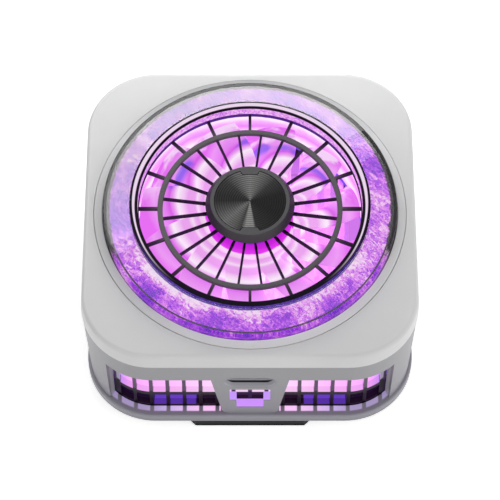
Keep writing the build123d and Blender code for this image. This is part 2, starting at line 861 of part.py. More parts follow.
def make_magnets():
    # Ring of separate curved magnets
    floor = tray_z - magnet_ring_height - magnet_pocket_gap
    ring = Circle(magnet_ring_inner + magnet_ring_width) - Circle(magnet_ring_inner)
    half = math.pi / magnet_count
    reach = 2 * magnet_ring_inner
    inset = magnet_gap / 2
    sector = make_face(Polyline(
        (inset, 0), (reach * math.cos(half) + inset, -reach * math.sin(half)),
        (reach * math.cos(half) + inset, reach * math.sin(half)), close=True))
    magnet = extrude(Pos(0, 0, floor) * (ring & sector), magnet_ring_height)
    return around(magnet, magnet_count)


def make_contact_pad():
    pad = extrude(octagon(), pad_height)
    pad = fillet(pad.edges().filter_by(Axis.Z), foot_edge_round)
    return pad - cylinder(cold_radius + pad_hole_gap, -overrun, pad_height + overrun)


def make_port_shell():
    # Folded metal shell of the charging port
    inside = stadium(port_width - 2 * port_wall, port_height - 2 * port_wall)
    face = stadium(port_width, port_height) - inside
    shell = extrude(Pos(0, port_face + port_depth, 0) * face, port_depth)
    back = Pos(0, port_face + port_depth, 0) * stadium(port_width - port_wall, port_height - port_wall)
    return shell + extrude(back, port_wall)


def make_port_tongue():
    half = tongue_width / 2
    tall = tongue_height / 2
    back = port_face + port_depth - port_wall
    return box(-half, half, port_face + tongue_short, back, port_z - tall, port_z + tall)


def make_main_board():
    front = -(grid_inner_half - seat_gap)
    back = -(sink_half + seat_gap)
    board = box(-board_half_length, board_half_length, front, back, board_under, board_z)
    for x in (-board_screw_place, board_screw_place):
        hole = board_screw_radius + hole_clearance
        board -= cylinder(hole, board_under - overrun, board_z + overrun, (x, board_post_y))
    return board


def make_board_chips():
    # Fan driver and charging controller on the upper face of the board
    middle = (port_face + port_depth - sink_half) / 2
    chips = []
    for x in (-chip_place, chip_place):
        place = board_post_y + board_post_radius + chip_half + fit_gap
        limit = min(place, middle + chip_half)
        top = board_z + chip_height
        chips.append(box(x - chip_half, x + chip_half, limit - chip_half, limit, board_z, top))
    return chips


def pan_screw(place, seat, direction, radius, head_radius, head_height, length):
    # Screw whose head lies on the seat, with a round drive socket
    shank = Cylinder(radius, length, align=(Align.CENTER, Align.CENTER, Align.MIN))
    head = Cylinder(head_radius, head_height, align=(Align.CENTER, Align.CENTER, Align.MAX))
    head = fillet(head.edges().sort_by(Axis.Z)[0], head_height / 3)
    socket = Pos(0, 0, -head_height) * extrude(RegularPolygon(head_radius / 2, 6), head_height / 2)
    screw = shank + head - socket
    if direction < 0:
        screw = Rot(180, 0, 0) * screw
    return Pos(place[0], place[1], seat) * screw


def make_case_screws():
    # Up through the tray into the bosses of the waist shell
    seat = tray_z + screw_head_height
    length = floor_z + screw_reach - seat
    return [pan_screw(place, seat, 1, screw_radius, screw_head_radius, screw_head_height, length)
            for place in corners_of(boss_place)]


def make_frame_screws():
    # Down through the carrier plate into the same bosses
    screws = []
    for x, y in corners_of(boss_place):
        top = carrier_z - ring_gap
        middle = top - screw_head_height / 2
        cone = Pos(0, 0, middle) * Cone(screw_radius, screw_head_radius, screw_head_height)
        shank = cylinder(screw_radius, top - frame_screw_length, top - screw_head_height / 2)
        socket = extrude(Pos(0, 0, top - drive_depth) * RegularPolygon(drive_radius, 6), overrun)
        screws.append(Pos(x, y, 0) * (cone + shank - socket))
    return screws


def make_sink_screws():
    length = fin_root - floor_z - fit_gap
    return [pan_screw(place, fin_root, -1, sink_screw_radius, sink_screw_head_radius,
                      sink_screw_head_height, length)
            for place in corners_of(sink_boss_place)]


def make_board_screws():
    length = board_height + board_screw_reach
    return [pan_screw((x, board_post_y), board_under, 1, board_screw_radius, board_screw_head_radius,
                      board_screw_head_height, length)
            for x in (-board_screw_place, board_screw_place)]


shaft_top = fan_top - impeller_cap + shaft_seat_depth
tube_top = fan_top - impeller_cap - impeller_boss_height - tube_below_boss
stator_z = (motor_z + tube_top - stator_height) / 2
board_post_y = -(guide_inner_half - board_post_radius - seat_gap)

os.makedirs("parts", exist_ok=True)
save("top_cover", make_top_cover())
save("bezel_ring", make_bezel_ring())
save("crystal_lens", make_crystal_lens())
save("well_ring", make_well_ring())
save("ice_diffuser", make_ice_diffuser())
save("led_ring_board", make_led_board())
save_group("led_chips", make_led_chips())
save("fan_grille", make_fan_grille())
save("hub_cap", make_hub_cap())
save("hub_plate", make_hub_plate())
save("fan_duct", make_fan_duct())
save("impeller", make_impeller())
save("rotor_cup", make_rotor_cup())
save("rotor_magnet", make_rotor_magnet())
save("fan_shaft", make_fan_shaft())
save("bearing_sleeve", make_bearing_sleeve())
save("motor_mount", make_motor_mount())
save("motor_stator", make_stator())
save_group("stator_coils", make_coils())
save("waist_shell", make_waist_shell())
save("front_grid", make_grid(0, 8, 0, with_port=True))
save("back_grid", make_grid(180, 8, 0))
save("left_grid", make_grid(-90, 5, side_window_half + grid_bar))
save("right_grid", make_grid(90, 5, side_window_half + grid_bar))
save("front_light_guide", make_guide(0, guide_half_length))
save("back_light_guide", make_guide(180, guide_half_length))
save("left_light_guide", make_guide(-90, side_guide_half_length))
save("right_light_guide", make_guide(90, side_guide_half_length))
save_group("guide_led_strips", [make_strip(turn) for turn in (0, 90, 180, 270)])
save("base_tray", make_base_tray())
save("cold_plate", make_cold_plate())
save("peltier_module", make_peltier())
save("insulating_gasket", make_gasket())
save("heat_sink", make_heat_sink())
save("magnet_foot", make_magnet_foot())
save_group("magnet_ring", make_magnets())
save("contact_pad", make_contact_pad())
save("port_shell", make_port_shell())
save("port_tongue", make_port_tongue())
save("main_board", make_main_board())
save_group("board_chips", make_board_chips())
save_group("case_screws", make_case_screws())
save_group("frame_screws", make_frame_screws())
save_group("heat_sink_screws", make_sink_screws())
save_group("board_screws", make_board_screws())
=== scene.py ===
import json
import math

import bmesh
import bpy
from mathutils import Matrix, Vector

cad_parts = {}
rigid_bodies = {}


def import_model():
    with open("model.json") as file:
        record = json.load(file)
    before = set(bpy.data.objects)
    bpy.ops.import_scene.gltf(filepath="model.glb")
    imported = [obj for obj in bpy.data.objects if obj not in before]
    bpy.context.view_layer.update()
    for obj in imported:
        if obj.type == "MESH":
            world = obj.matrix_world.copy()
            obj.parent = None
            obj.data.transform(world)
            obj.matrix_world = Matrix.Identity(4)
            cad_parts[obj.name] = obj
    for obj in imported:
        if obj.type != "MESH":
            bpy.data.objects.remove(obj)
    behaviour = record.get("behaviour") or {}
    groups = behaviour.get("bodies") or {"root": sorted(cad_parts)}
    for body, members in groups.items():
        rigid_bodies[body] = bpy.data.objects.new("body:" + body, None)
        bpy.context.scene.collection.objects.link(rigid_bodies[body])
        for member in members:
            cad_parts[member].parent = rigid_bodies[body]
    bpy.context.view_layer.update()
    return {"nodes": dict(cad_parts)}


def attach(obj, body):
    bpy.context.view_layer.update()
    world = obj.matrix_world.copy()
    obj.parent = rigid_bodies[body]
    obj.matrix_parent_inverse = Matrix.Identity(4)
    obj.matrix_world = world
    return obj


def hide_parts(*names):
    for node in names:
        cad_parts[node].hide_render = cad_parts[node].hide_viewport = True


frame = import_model()
nodes = frame["nodes"]
mm = 0.001  # Blender works in metres, and sizes below are in millimetres where no note says otherwise

case = {"half": 32.0, "cornerRound": 13.5, "coverTop": 30.5, "seam": 26.6}
# welds in metres; in degrees how flat faces are merged, and past which angle an edge is sharp
meshCare = {"weld": 1e-7, "cadWeld": 2e-6, "flat": 0.6, "crease": 32.0, "bevelled": 50.0, "grownCrease": 40.0,
            "segments": 2, "normalWeight": 80}


def tone(code):  # "#rrggbb" as the linear colour that Blender works in
    parts = [int(code[start:start + 2], 16) / 255 for start in (1, 3, 5)]
    return tuple(p / 12.92 if p <= 0.04045 else ((p + 0.055) / 1.055) ** 2.4 for p in parts) + (1.0,)


# shader maths: a socket that takes part in sums, and one material with its nodes

class Wire:
    def __init__(self, finish, socket):
        self.finish = finish
        self.socket = socket

    def output(self, name):  # another output of the same node
        return Wire(self.finish, self.socket.node.outputs[name])

    def maths(self, operation, *terms):
        return self.finish.node("ShaderNodeMath", {"operation": operation}, dict(enumerate(terms)))

    def __add__(self, other):
        return self.maths("ADD", self, other)

    def __radd__(self, other):
        return self.maths("ADD", other, self)

    def __sub__(self, other):
        return self.maths("SUBTRACT", self, other)

    def __rsub__(self, other):
        return self.maths("SUBTRACT", other, self)

    def __mul__(self, other):
        return self.maths("MULTIPLY", self, other)

    def __rmul__(self, other):
        return self.maths("MULTIPLY", other, self)

    def __truediv__(self, other):
        return self.maths("DIVIDE", self, other)

    def size(self):
        return self.maths("ABSOLUTE", self)

    def step(self, low, high):  # 0 below low, 1 above high, smooth between
        settings = {"interpolation_type": "SMOOTHSTEP"}
        inputs = {"Value": self, "From Min": low, "From Max": high}
        return self.finish.node("ShaderNodeMapRange", settings, inputs)

    def drop(self, low, high):  # 1 below low, 0 above high
        return 1 - self.step(low, high)

    def band(self, rise, fall):  # 1 between two edges
        return self.step(*rise) * self.drop(*fall)


class Finish:
    def __init__(self, name, **constants):
        self.material = bpy.data.materials.new(name)
        self.material.use_nodes = True
        self.tree = self.material.node_tree
        self.shader = self.tree.nodes["Principled BSDF"]
        for socketName, value in constants.items():
            self.put(socketName, value)

    def put(self, socketName, value):  # socket names are written without their blanks
        for socket in self.shader.inputs:
            if socket.name.replace(" ", "") == socketName:
                return self.feed(socket, value)
        raise KeyError(socketName)

    def feed(self, socket, value):
        if isinstance(value, Wire):
            self.tree.links.new(value.socket, socket)
        else:
            socket.default_value = value

    def node(self, kind, settings=None, inputs=None, output=0):
        made = self.tree.nodes.new(kind)
        for key, value in (settings or {}).items():
            if key == "stops":
                self.setStops(made.color_ramp, value)
            else:
                setattr(made, key, value)
        for key, value in (inputs or {}).items():
            self.feed(made.inputs[key], value)
        return Wire(self, made.outputs[output])

    def setStops(self, ramp, stops):
        while len(ramp.elements) < len(stops):
            ramp.elements.new(1.0)
        for element, (place, colour) in zip(ramp.elements, stops):
            element.position = place
            element.color = tone(colour) if isinstance(colour, str) else (colour, colour, colour, 1.0)

    def place(self):  # Object coordinates in millimetres
        found = self.node("ShaderNodeTexCoord", output="Object")
        return self.node("ShaderNodeVectorMath", {"operation": "SCALE"}, {0: found, "Scale": 1 / mm})

    def where(self):  # the place, and its x, y and z
        point = self.place()
        x = self.node("ShaderNodeSeparateXYZ", None, {0: point})
        return point, x, x.output("Y"), x.output("Z")

    def radius(self, x, y):
        return x.maths("SQRT", x * x + y * y)

    def turn(self, x, y):  # angle about Z, from -pi to pi
        return x.maths("ARCTAN2", y, x)

    def joined(self, x, y, z):
        return self.node("ShaderNodeCombineXYZ", None, {0: x, 1: y, 2: z})

    def noise(self, point, scale, detail=3.0, roughness=0.55, distortion=0.0):
        inputs = {"Vector": point, "Scale": scale, "Detail": detail, "Roughness": roughness,
                  "Distortion": distortion}
        return self.node("ShaderNodeTexNoise", None, inputs)

    def cells(self, point, scale):
        return self.node("ShaderNodeTexVoronoi", None, {"Vector": point, "Scale": scale})

    def ramp(self, value, *stops):
        return self.node("ShaderNodeValToRGB", {"stops": stops}, {0: value})

    def mix(self, factor, first, second):  # 6, 7 and 2 are the node's sockets for colours
        colours = [tone(c) if isinstance(c, str) else c for c in (first, second)]
        inputs = {0: factor, 6: colours[0], 7: colours[1]}
        return self.node("ShaderNodeMix", {"data_type": "RGBA"}, inputs, output=2)

    def layered(self, colour, *layers):  # masks with their colours, each painted over what came before
        for mask, over in layers:
            colour = self.mix(mask, colour, over)
        return colour

    def twoTone(self, noise, first, second, spots=(0.3, 0.7)):  # two near tones in soft spots
        return self.mix(noise.step(*spots), first, second)

    def shine(self, glow, matt):  # emission of a colour, over a darker body of the same colour
        self.put("BaseColor", self.mix(matt, "#000000", glow))
        self.put("EmissionColor", glow)

    def bump(self, height, strength, depth):  # depth in millimetres
        inputs = {"Height": height, "Strength": strength, "Distance": depth * mm}
        self.put("Normal", self.node("ShaderNodeBump", None, inputs))


# mesh helpers

def linked(name, data):  # new object in the scene, at the origin
    made = bpy.data.objects.new(name, data)
    bpy.context.scene.collection.objects.link(made)
    return made


def softened(points, steps=5, most=0.48):  # (radius, height, round) corners into one smooth outline
    outline = []
    for index, (across, up, softness) in enumerate(points):
        corner = Vector((across, up))
        if not softness:
            outline.append((across, up))
            continue
        before = Vector(points[index - 1][:2]) - corner
        after = Vector(points[(index + 1) % len(points)][:2]) - corner
        reach = softness / math.tan(before.angle(after) / 2)
        reach = min(reach, most * before.length, most * after.length)
        start = corner + before.normalized() * reach
        end = corner + after.normalized() * reach
        for step in range(steps + 1):
            t = step / steps
            outline.append(tuple((1 - t) ** 2 * start + 2 * t * (1 - t) * corner + t * t * end))
    return outline


def meshFrom(name, rows):  # rows of points, each row a closed loop, and the last joined to the first
    mesh = bpy.data.meshes.new(name)
    build = bmesh.new()
    made = [[build.verts.new(Vector(point) * mm) for point in row] for row in rows]
    count = len(rows[0])
    for low, high in zip(made, made[1:] + made[:1]):
        for index in range(count):
            after = (index + 1) % count
            build.faces.new((low[index], low[after], high[after], high[index]))
    bmesh.ops.remove_doubles(build, verts=build.verts, dist=meshCare["weld"])
    bmesh.ops.recalc_face_normals(build, faces=build.faces)
    build.to_mesh(mesh)
    build.free()
    return mesh


def smoothed(mesh, angle):  # smooth faces, and sharp edges past the angle
    mesh.polygons.foreach_set("use_smooth", [True] * len(mesh.polygons))
    mesh.set_sharp_from_angle(angle=math.radians(angle))


def pieceOf(name, mesh, finish, angle=meshCare["crease"]):  # object with this mesh and material
    piece = linked(name, mesh)
    smoothed(mesh, angle)
    mesh.materials.clear()
    mesh.materials.append(finish.material)
    return piece


def turnedMesh(name, points, segments=192):  # closed (radius, height, round) outline spun about Z
    outline = softened(points)
    rows = []
    for across, up in outline:
        angles = [2 * math.pi * index / segments for index in range(segments)]
        rows.append([(across * math.cos(a), across * math.sin(a), up) for a in angles])
    return meshFrom(name, rows)


def squareRow(half, height, perCorner=20, perSide=14):  # rounded square with the case's corner centres
    centre = case["half"] - case["cornerRound"]
    centres = [(centre, centre), (-centre, centre), (-centre, -centre), (centre, -centre)]
    bend = half - centre
    row = []
    for quarter, (cx, cy) in enumerate(centres):
        base = math.pi / 2 * quarter
        for index in range(perCorner + 1):
            a = base + math.pi / 2 * index / perCorner
            row.append((cx + bend * math.cos(a), cy + bend * math.sin(a), height))
        end = Vector(row[-1])
        nx, ny = centres[(quarter + 1) % 4]
        a = base + math.pi / 2
        start = Vector((nx + bend * math.cos(a), ny + bend * math.sin(a), height))
        for index in range(1, perSide):
            row.append(tuple(end.lerp(start, index / perSide)))
    return row


def roundRow(like, across, height):  # circle whose points lie on the same rays as another row's
    row = []
    for x, y, _ in like:
        a = math.atan2(y, x)
        row.append((across * math.cos(a), across * math.sin(a), height))
    return row


def flattened(piece, *modifiers):  # plain mesh of a piece with its modifiers applied
    for kind, settings in modifiers:
        added = piece.modifiers.new(kind, kind)
        for key, value in settings.items():
            setattr(added, key, value)
    graph = bpy.context.evaluated_depsgraph_get()
    done = piece.evaluated_get(graph)
    mesh = bpy.data.meshes.new_from_object(done, preserve_all_data_layers=True, depsgraph=graph)
    piece.modifiers.clear()
    piece.data = mesh
    return piece


def evened(piece):  # flat faces keep one shade up to their rounded edges
    return flattened(piece, ("WEIGHTED_NORMAL", {"keep_sharp": True, "weight": meshCare["normalWeight"]}))


def bevelled(piece, width, angle, **more):  # rounded edges past the angle, width in millimetres
    limits = {"width": width * mm, "segments": meshCare["segments"], "limit_method": "ANGLE",
              "angle_limit": math.radians(angle)}
    return flattened(piece, ("BEVEL", {**limits, **more}))


def dressed(name, node, finish, bevel, angle=meshCare["crease"], merge=True):
    # copy of a CAD node with softened edges
    mesh = nodes[node].data.copy()
    build = bmesh.new()
    build.from_mesh(mesh)
    bmesh.ops.remove_doubles(build, verts=build.verts, dist=meshCare["cadWeld"])
    if merge:  # one face per flat, which fails where many holes pierce it
        flat = math.radians(meshCare["flat"])
        bmesh.ops.dissolve_limit(build, angle_limit=flat, verts=build.verts, edges=build.edges)
    build.to_mesh(mesh)
    build.free()
    piece = pieceOf(name, mesh, finish, angle)
    if not bevel:
        return piece
    bevelled(piece, bevel, angle, use_clamp_overlap=True, miter_outer="MITER_ARC")
    smoothed(piece.data, meshCare["bevelled"])
    return evened(piece)


def place(piece, node, slotName, body="housing"):  # what every finished piece is told
    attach(piece, body)
    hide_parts(node)


def dress(name, node, finish, slotName, bevel, body="housing", **more):
    place(dressed(name, node, finish, bevel, **more), node, slotName, body)


# finishes: in their dictionaries a pair is where an edge starts and ends, two pairs are the edges of a band,
# and a noise is given as its scale, detail, roughness and distortion

moulding = {"grain": (5.0, 4.0, 0.6), "roughChange": 0.12, "bump": 0.25, "cloud": (0.05, 3.0)}


def satin(finish, point, roughness, depth):  # fine moulded grain in the gloss and the surface
    fine = finish.noise(point, *moulding["grain"])
    finish.put("Roughness", roughness + (fine - 0.5) * moulding["roughChange"])
    finish.bump(fine, moulding["bump"], depth)
    return fine


def mouldedPlastic(name, light, dark, roughness, depth, specular=0.45):
    finish = Finish(name, SpecularIORLevel=specular)
    point = finish.place()
    finish.put("BaseColor", finish.twoTone(finish.noise(point, *moulding["cloud"]), dark, light))
    satin(finish, point, roughness, depth)
    return finish


# light behind the windows, from the middle of a wall to its ends
windowGlow = [(0.0, "#ffdcfd"), (0.36, "#ffccfc"), (0.60, "#fdb8fa"), (0.80, "#fbaffc"), (0.92, "#f4a6fc"),
              (1.0, "#cc92ff")]
lights = {"reach": 25.5, "pitch": 3.19, "bar": 0.68, "barSharp": 0.05, "barSoft": 0.15,
          "lowRun": ((10.4, 10.7), (18.6, 18.9))}


def alongWall(x, y):  # distance along the nearest side wall from its middle
    return x.maths("MINIMUM", x.size(), y.size())


def outward(finish, x, y):  # half width of the case's rounded square that passes through a point
    core = case["half"] - case["cornerRound"]
    beyond = [axis.maths("MAXIMUM", axis.size() - core, 0.0) for axis in (x, y)]
    return finish.radius(*beyond) + core


def behindBars(x, y):  # 1 where an opening of the grid lies, 0 behind its bars
    half = lights["bar"] / 2
    share = alongWall(x, y) / lights["pitch"] + 0.5
    nearest = (share.maths("FRACT", share) - 0.5).size() * lights["pitch"]
    return nearest.step(half - lights["barSharp"], half + lights["barSoft"])


waist = {
    "greyRise": (6.0, 24.0), "insideWall": (29.78, 29.84), "insideTop": (23.6, 23.8), "insideShare": 0.8,
    "jambWall": ((29.84, 29.9), (30.9, 31.1)), "jambTall": ((5.9, 6.0), (21.0, 21.1)),
    "jambFrom": (16.0, 18.0),
}
panel = {  # of the port: its face leans out with height, and depths are counted from that face
    "face": 31.5, "foot": 5.85, "lean": 0.0289, "mouth": (0.04, 0.14),
    "slotHalf": (3.92, 3.98), "slotTall": ((8.7, 8.8), (16.9, 17.0)), "slotBack": (-29.6, -29.4),
    "slotTone": (8.9, 13.4),
    "portHalf": (4.75, 4.85), "portTall": ((17.9, 18.0), (19.6, 20.2)), "portBack": (-29.7, -29.6),
    "gapDepth": 1.22, "gapHalf": 0.22, "gapEnds": (3.2, 4.75), "gapEdge": (-0.05, 0.05),
}


def makeShellFinish():
    # satin grey, darker towards the bottom; painted light: the light of the window bars inside the slot of
    # the port panel, a paler floor in the port's recess, grey on the window jambs and violet on the inner
    # walls; painted shade: a dark slit line in front of the port
    finish = Finish("shellGrey", EmissionStrength=1.0)
    point, x, y, z = finish.where()
    across = x.size()
    grey = finish.mix(z.step(*waist["greyRise"]), "#8a8790", "#97979a")
    grey = finish.mix((finish.noise(point, *moulding["cloud"]) - 0.5).size(), grey, "#8e8e92")
    depth = y + panel["face"] + (z - panel["foot"]) * panel["lean"]
    mouth = depth.step(*panel["mouth"])
    # painted light of the window bars inside the slot of the port panel, over a tinted base
    inSlot = across.drop(*panel["slotHalf"]) * z.band(*panel["slotTall"]) * mouth
    inSlot = inSlot * y.drop(*panel["slotBack"])
    # painted light on the floor of the port's recess
    inPort = across.drop(*panel["portHalf"]) * z.band(*panel["portTall"]) * mouth
    inPort = inPort * y.drop(*panel["portBack"])
    # painted shade: a dark slit line with pointed ends on the recess floor in front of the port
    half = panel["gapHalf"] * across.drop(*panel["gapEnds"])
    offSlitShade = (depth - panel["gapDepth"]).size() - half
    gap = inPort * offSlitShade.drop(*panel["gapEdge"])
    wide = outward(finish, x, y)
    # painted violet light on the inner walls, and painted grey light on the window jambs
    within = wide.drop(*waist["insideWall"]) * z.drop(*waist["insideTop"]) * (1 - inSlot)
    jamb = wide.band(*waist["jambWall"]) * z.band(*waist["jambTall"]) * across.step(*waist["jambFrom"])
    lit = finish.mix(z.step(*panel["slotTone"]), "#c58cf2", "#b894ea")
    glow = finish.layered("#000000", (inSlot, lit), (inPort, "#5c5a60"), (gap, "#000000"), (jamb, "#545356"),
                          (within * waist["insideShare"], "#8046c8"))
    finish.put("EmissionColor", glow)
    finish.put("BaseColor", finish.layered(grey, (gap, "#050506"), (inSlot, "#5a4470")))
    satin(finish, point, 0.40, 0.006)
    return finish


tray = {
    "greyRise": (3.2, 5.6), "insideWall": (29.82, 29.88), "insideTop": (5.4, 5.7),
    "sill": ((29.75, 29.85), (30.8, 31.15)), "sillTop": (5.7, 5.8), "sillFrom": (5.6, 5.8),
    "sillTone": (8.0, 18.0), "sillFade": (15.0, 21.0), "sillShare": 0.46, "sillMoreShare": 0.36,
    "floor": ((4.2, 4.3), (4.6, 4.9)),
    "behindFoot": ((25.0, 25.2), (29.75, 29.85)), "underFins": (23.5, 24.5),
    "backWall": (29.5, 29.8), "backFrom": (18.0, 19.0),
}


def makeTrayFinish():
    # same grey, darker towards the bottom; painted light: lit squares on the sill where light falls through
    # the grid, and a lit floor; painted shade: dark inside
    finish = Finish("trayGrey", EmissionStrength=1.0)
    point, x, y, z = finish.where()
    wide = outward(finish, x, y)
    along = alongWall(x, y)
    floor = z.band(*tray["floor"])
    sill = wide.band(*tray["sill"]) * z.step(*tray["sillTop"]) * along.step(*tray["sillFrom"])
    squareTone = finish.mix(along.step(*tray["sillTone"]), "#ffc4fb", "#bca2e4")
    squareShare = tray["sillShare"] + along.drop(*tray["sillFade"]) * tray["sillMoreShare"]
    behindFoot = floor * wide.band(*tray["behindFoot"]) * along.band(*lights["lowRun"])
    underFins = floor * wide.drop(*tray["underFins"])
    back = floor * (1 - underFins) * wide.drop(*tray["backWall"]) * y.step(*tray["backFrom"])
    # painted light: squares on the sill and glows on the floor
    squares = behindBars(x, y) * sill * squareShare
    glow = finish.layered("#000000", (squares, squareTone), (behindFoot, "#6238c0"), (underFins, "#cf78ea"),
                          (back, "#c86ce6"))
    finish.put("EmissionColor", glow)
    grey = finish.mix(z.step(*tray["greyRise"]), "#817e88", "#918f98")
    # painted shade: the inside of the tray is dark
    inside = z.drop(*tray["insideTop"]) * wide.drop(*tray["insideWall"])
    finish.put("BaseColor", finish.mix(inside, grey, "#140a1c"))
    satin(finish, point, 0.40, 0.006)
    return finish


silver = {"span": 62.0, "fine": (2.0, 3.0), "waver": 2.0}


def makeSilverFinish():
    # one tone after another from front to back: painted light and shade, paler at the front and darker at the
    # back
    finish = Finish("ringSilver", SpecularIORLevel=0.14)
    point, _, y, _ = finish.where()
    fine = finish.noise(point, *silver["fine"])
    share = (y + (fine - 0.5) * silver["waver"]) / silver["span"] + 0.5
    finish.put("BaseColor", finish.ramp(share, (0.0, "#e4e4e5"), (0.25, "#dfdfe0"), (0.5, "#d6d6d7"),
                                        (0.75, "#dedee0"), (0.9, "#c0c0c2"), (1.0, "#b0b0b2")))
    finish.put("Roughness", 0.24 + fine * 0.08)
    return finish


crystal = {"fine": (0.6, 2.0), "wall": (28.28, 28.34), "wallTop": (31.8, 31.95), "wallFrom": (-17.0, -9.0),
           "foot": (29.45, 29.55)}


def makeCrystalFinish():
    # clear, with painted shade: a dark foot and a dark outer wall that starts at the sides
    finish = Finish("crystalClear", TransmissionWeight=1.0, IOR=1.46)
    point, x, y, z = finish.where()
    fine = finish.noise(point, *crystal["fine"])
    wall = finish.radius(x, y).step(*crystal["wall"]) * z.drop(*crystal["wallTop"])
    clear = finish.twoTone(fine, "#fbf4ff", "#ffffff")
    clear = finish.mix(wall * y.step(*crystal["wallFrom"]), clear, "#1c1222")
    finish.put("BaseColor", finish.mix(z.step(*crystal["foot"]), "#000000", clear))
    finish.put("Roughness", 0.005 + fine * 0.01)
    return finish


ice = {
    "patch": (0.17, 1.0, 0.5), "drift": (0.9, 3.0, 0.7), "feather": (1.5, 6.0, 0.85, 1.2),
    "vein": (1.1, 5.0, 0.75, 2.4), "flakeScale": 2.4, "sway": 3.0, "veinNarrow": 10.0,
    "level": 0.42, "featherShare": 1.2, "patchShare": 0.9, "flakeShare": 0.36, "veinShare": 0.12,
    "inner": (24.2, 25.6), "innerSway": 0.9, "innerShare": 0.18, "front": (-16.0, -4.0),
    "middle": 25.4, "outerLoss": 0.05,
    "limit": 26.95, "limitFront": 1.2, "limitFeather": 1.3, "limitFlake": 0.35, "limitEdge": (-0.03, 0.04),
    "line": 27.38, "lineHalf": (0.11, 0.19), "lineEnd": (2.0, 6.0),
}
# painted reflection: a grey over the glow where the clear ring's reflection veils the light ring, by the
# share of a turn from the left, past the front
paintedVeil = [(0.0, 0.34), (0.08, 0.0), (0.58, 0.0), (0.62, 0.38), (0.75, 0.54), (0.83, 0.60), (0.917, 0.50),
        (1.0, 0.36)]


def makeIceFinish():
    # crackled ring: violet and pink patches in fine flakes, under a painted reflection at the back, with a
    # ragged outer edge; painted shade: a dark line near that edge and dark past it
    finish = Finish("iceViolet", Roughness=0.5, SpecularIORLevel=0.2, EmissionStrength=0.92)
    point, x, y, z = finish.where()
    radius = finish.radius(x, y)
    patch = finish.noise(point, *ice["patch"]) - 0.5
    drift = finish.noise(point, *ice["drift"])
    bent = finish.joined(x + drift * ice["sway"], y - drift * ice["sway"], z)
    cell = finish.cells(bent, ice["flakeScale"])
    flake = finish.node("ShaderNodeSeparateColor", None, {0: cell.output("Color")}) - 0.5
    feather = finish.noise(bent, *ice["feather"])
    vein = 1 - (finish.noise(point, *ice["vein"]) - 0.5).size() * ice["veinNarrow"]
    inner = (radius + drift * ice["innerSway"]).drop(*ice["inner"])
    front = y.drop(*ice["front"])
    bright = ice["level"] + (feather - 0.5) * ice["featherShare"] + patch * ice["patchShare"]
    bright = bright + flake * ice["flakeShare"] + vein.maths("MAXIMUM", vein, 0.0) * ice["veinShare"]
    bright = bright + inner * front * ice["innerShare"] - (radius - ice["middle"]) * ice["outerLoss"] * front
    glow = finish.ramp(bright, (0.18, "#5c00b4"), (0.34, "#8a06d2"), (0.44, "#a82cd9"), (0.53, "#bd64d9"),
                       (0.64, "#d878de"), (0.80, "#e6d2e4"))
    paintedVeilShare = finish.ramp(finish.turn(x, y) / (2 * math.pi) + 0.5, *paintedVeil)
    # painted shade: a dark line near the outer edge, except at the back, and dark past the ragged outer edge
    line = (radius - ice["line"]).size().drop(*ice["lineHalf"]) * y.drop(*ice["lineEnd"])
    limit = ice["limit"] + front * ice["limitFront"] + (feather - 0.5) * ice["limitFeather"]
    past = (radius - (limit + flake * ice["limitFlake"])).step(*ice["limitEdge"])
    finish.shine(finish.layered(glow, (paintedVeilShare, "#3a363e"), (line, "#14041c"), (past, "#100418")), 0.22)
    finish.bump(cell + feather * 0.5, 0.5, 0.2)
    return finish


well = {"wisp": (1.0, 4.0, 0.6), "wispStretch": (0.55, 1.4, 0.1), "top": 28.9, "widening": 0.6, "waver": 0.8,
        "start": 6.0, "span": 16.0}
# painted light, from the hub to the wall of the well
wellRings = [(0.03, "#5228ac"), (0.055, "#cc20e4"), (0.175, "#e434ee"), (0.195, "#fbdcf8"),
             (0.245, "#f8d0f6"), (0.27, "#eda4f0"), (0.31, "#f2b4f4"), (0.345, "#fbe0fa"), (0.38, "#efa8f2"),
             (0.46, "#eea4f2"), (0.525, "#f8d4f8"), (0.575, "#fceefc"), (0.62, "#eea8f2"), (0.67, "#dc60ea"),
             (0.725, "#e684f2"), (0.84, "#ee9cf5"), (0.94, "#e670f0")]


def wellLight(finish, x, y, z):
    # painted light: rings of colour that fall on everything in the well, wider the deeper it lies
    radius = finish.radius(x, y)
    byRadius, byTurn, byHeight = well["wispStretch"]
    where = finish.joined(radius * byRadius, finish.turn(x, y) * byTurn, z * byHeight)
    wisp = finish.noise(where, *well["wisp"])
    spread = radius + (well["top"] - z) * well["widening"] + (wisp - 0.5) * well["waver"]
    return finish.ramp((spread - well["start"]) / well["span"], *wellRings)


fan = {
    "blueNoise": (1.0, 1.0), "blueStretch": (2.2, 0.16), "blueAt": 3.0, "blueSpots": (0.56, 0.62),
    "blueRing": ((15.6, 17.0), (18.4, 19.2)), "blueFrom": (3.0, 7.0), "blueShare": 0.75,
    "paleNoise": (1.0, 3.0), "paleStretch": (3.0, 0.3), "paleAt": 1.0, "paleSpots": (0.44, 0.58),
    "paleRing": (17.2, 18.6), "paleFrom": (2.0, 9.0), "paleShare": 0.8,
}


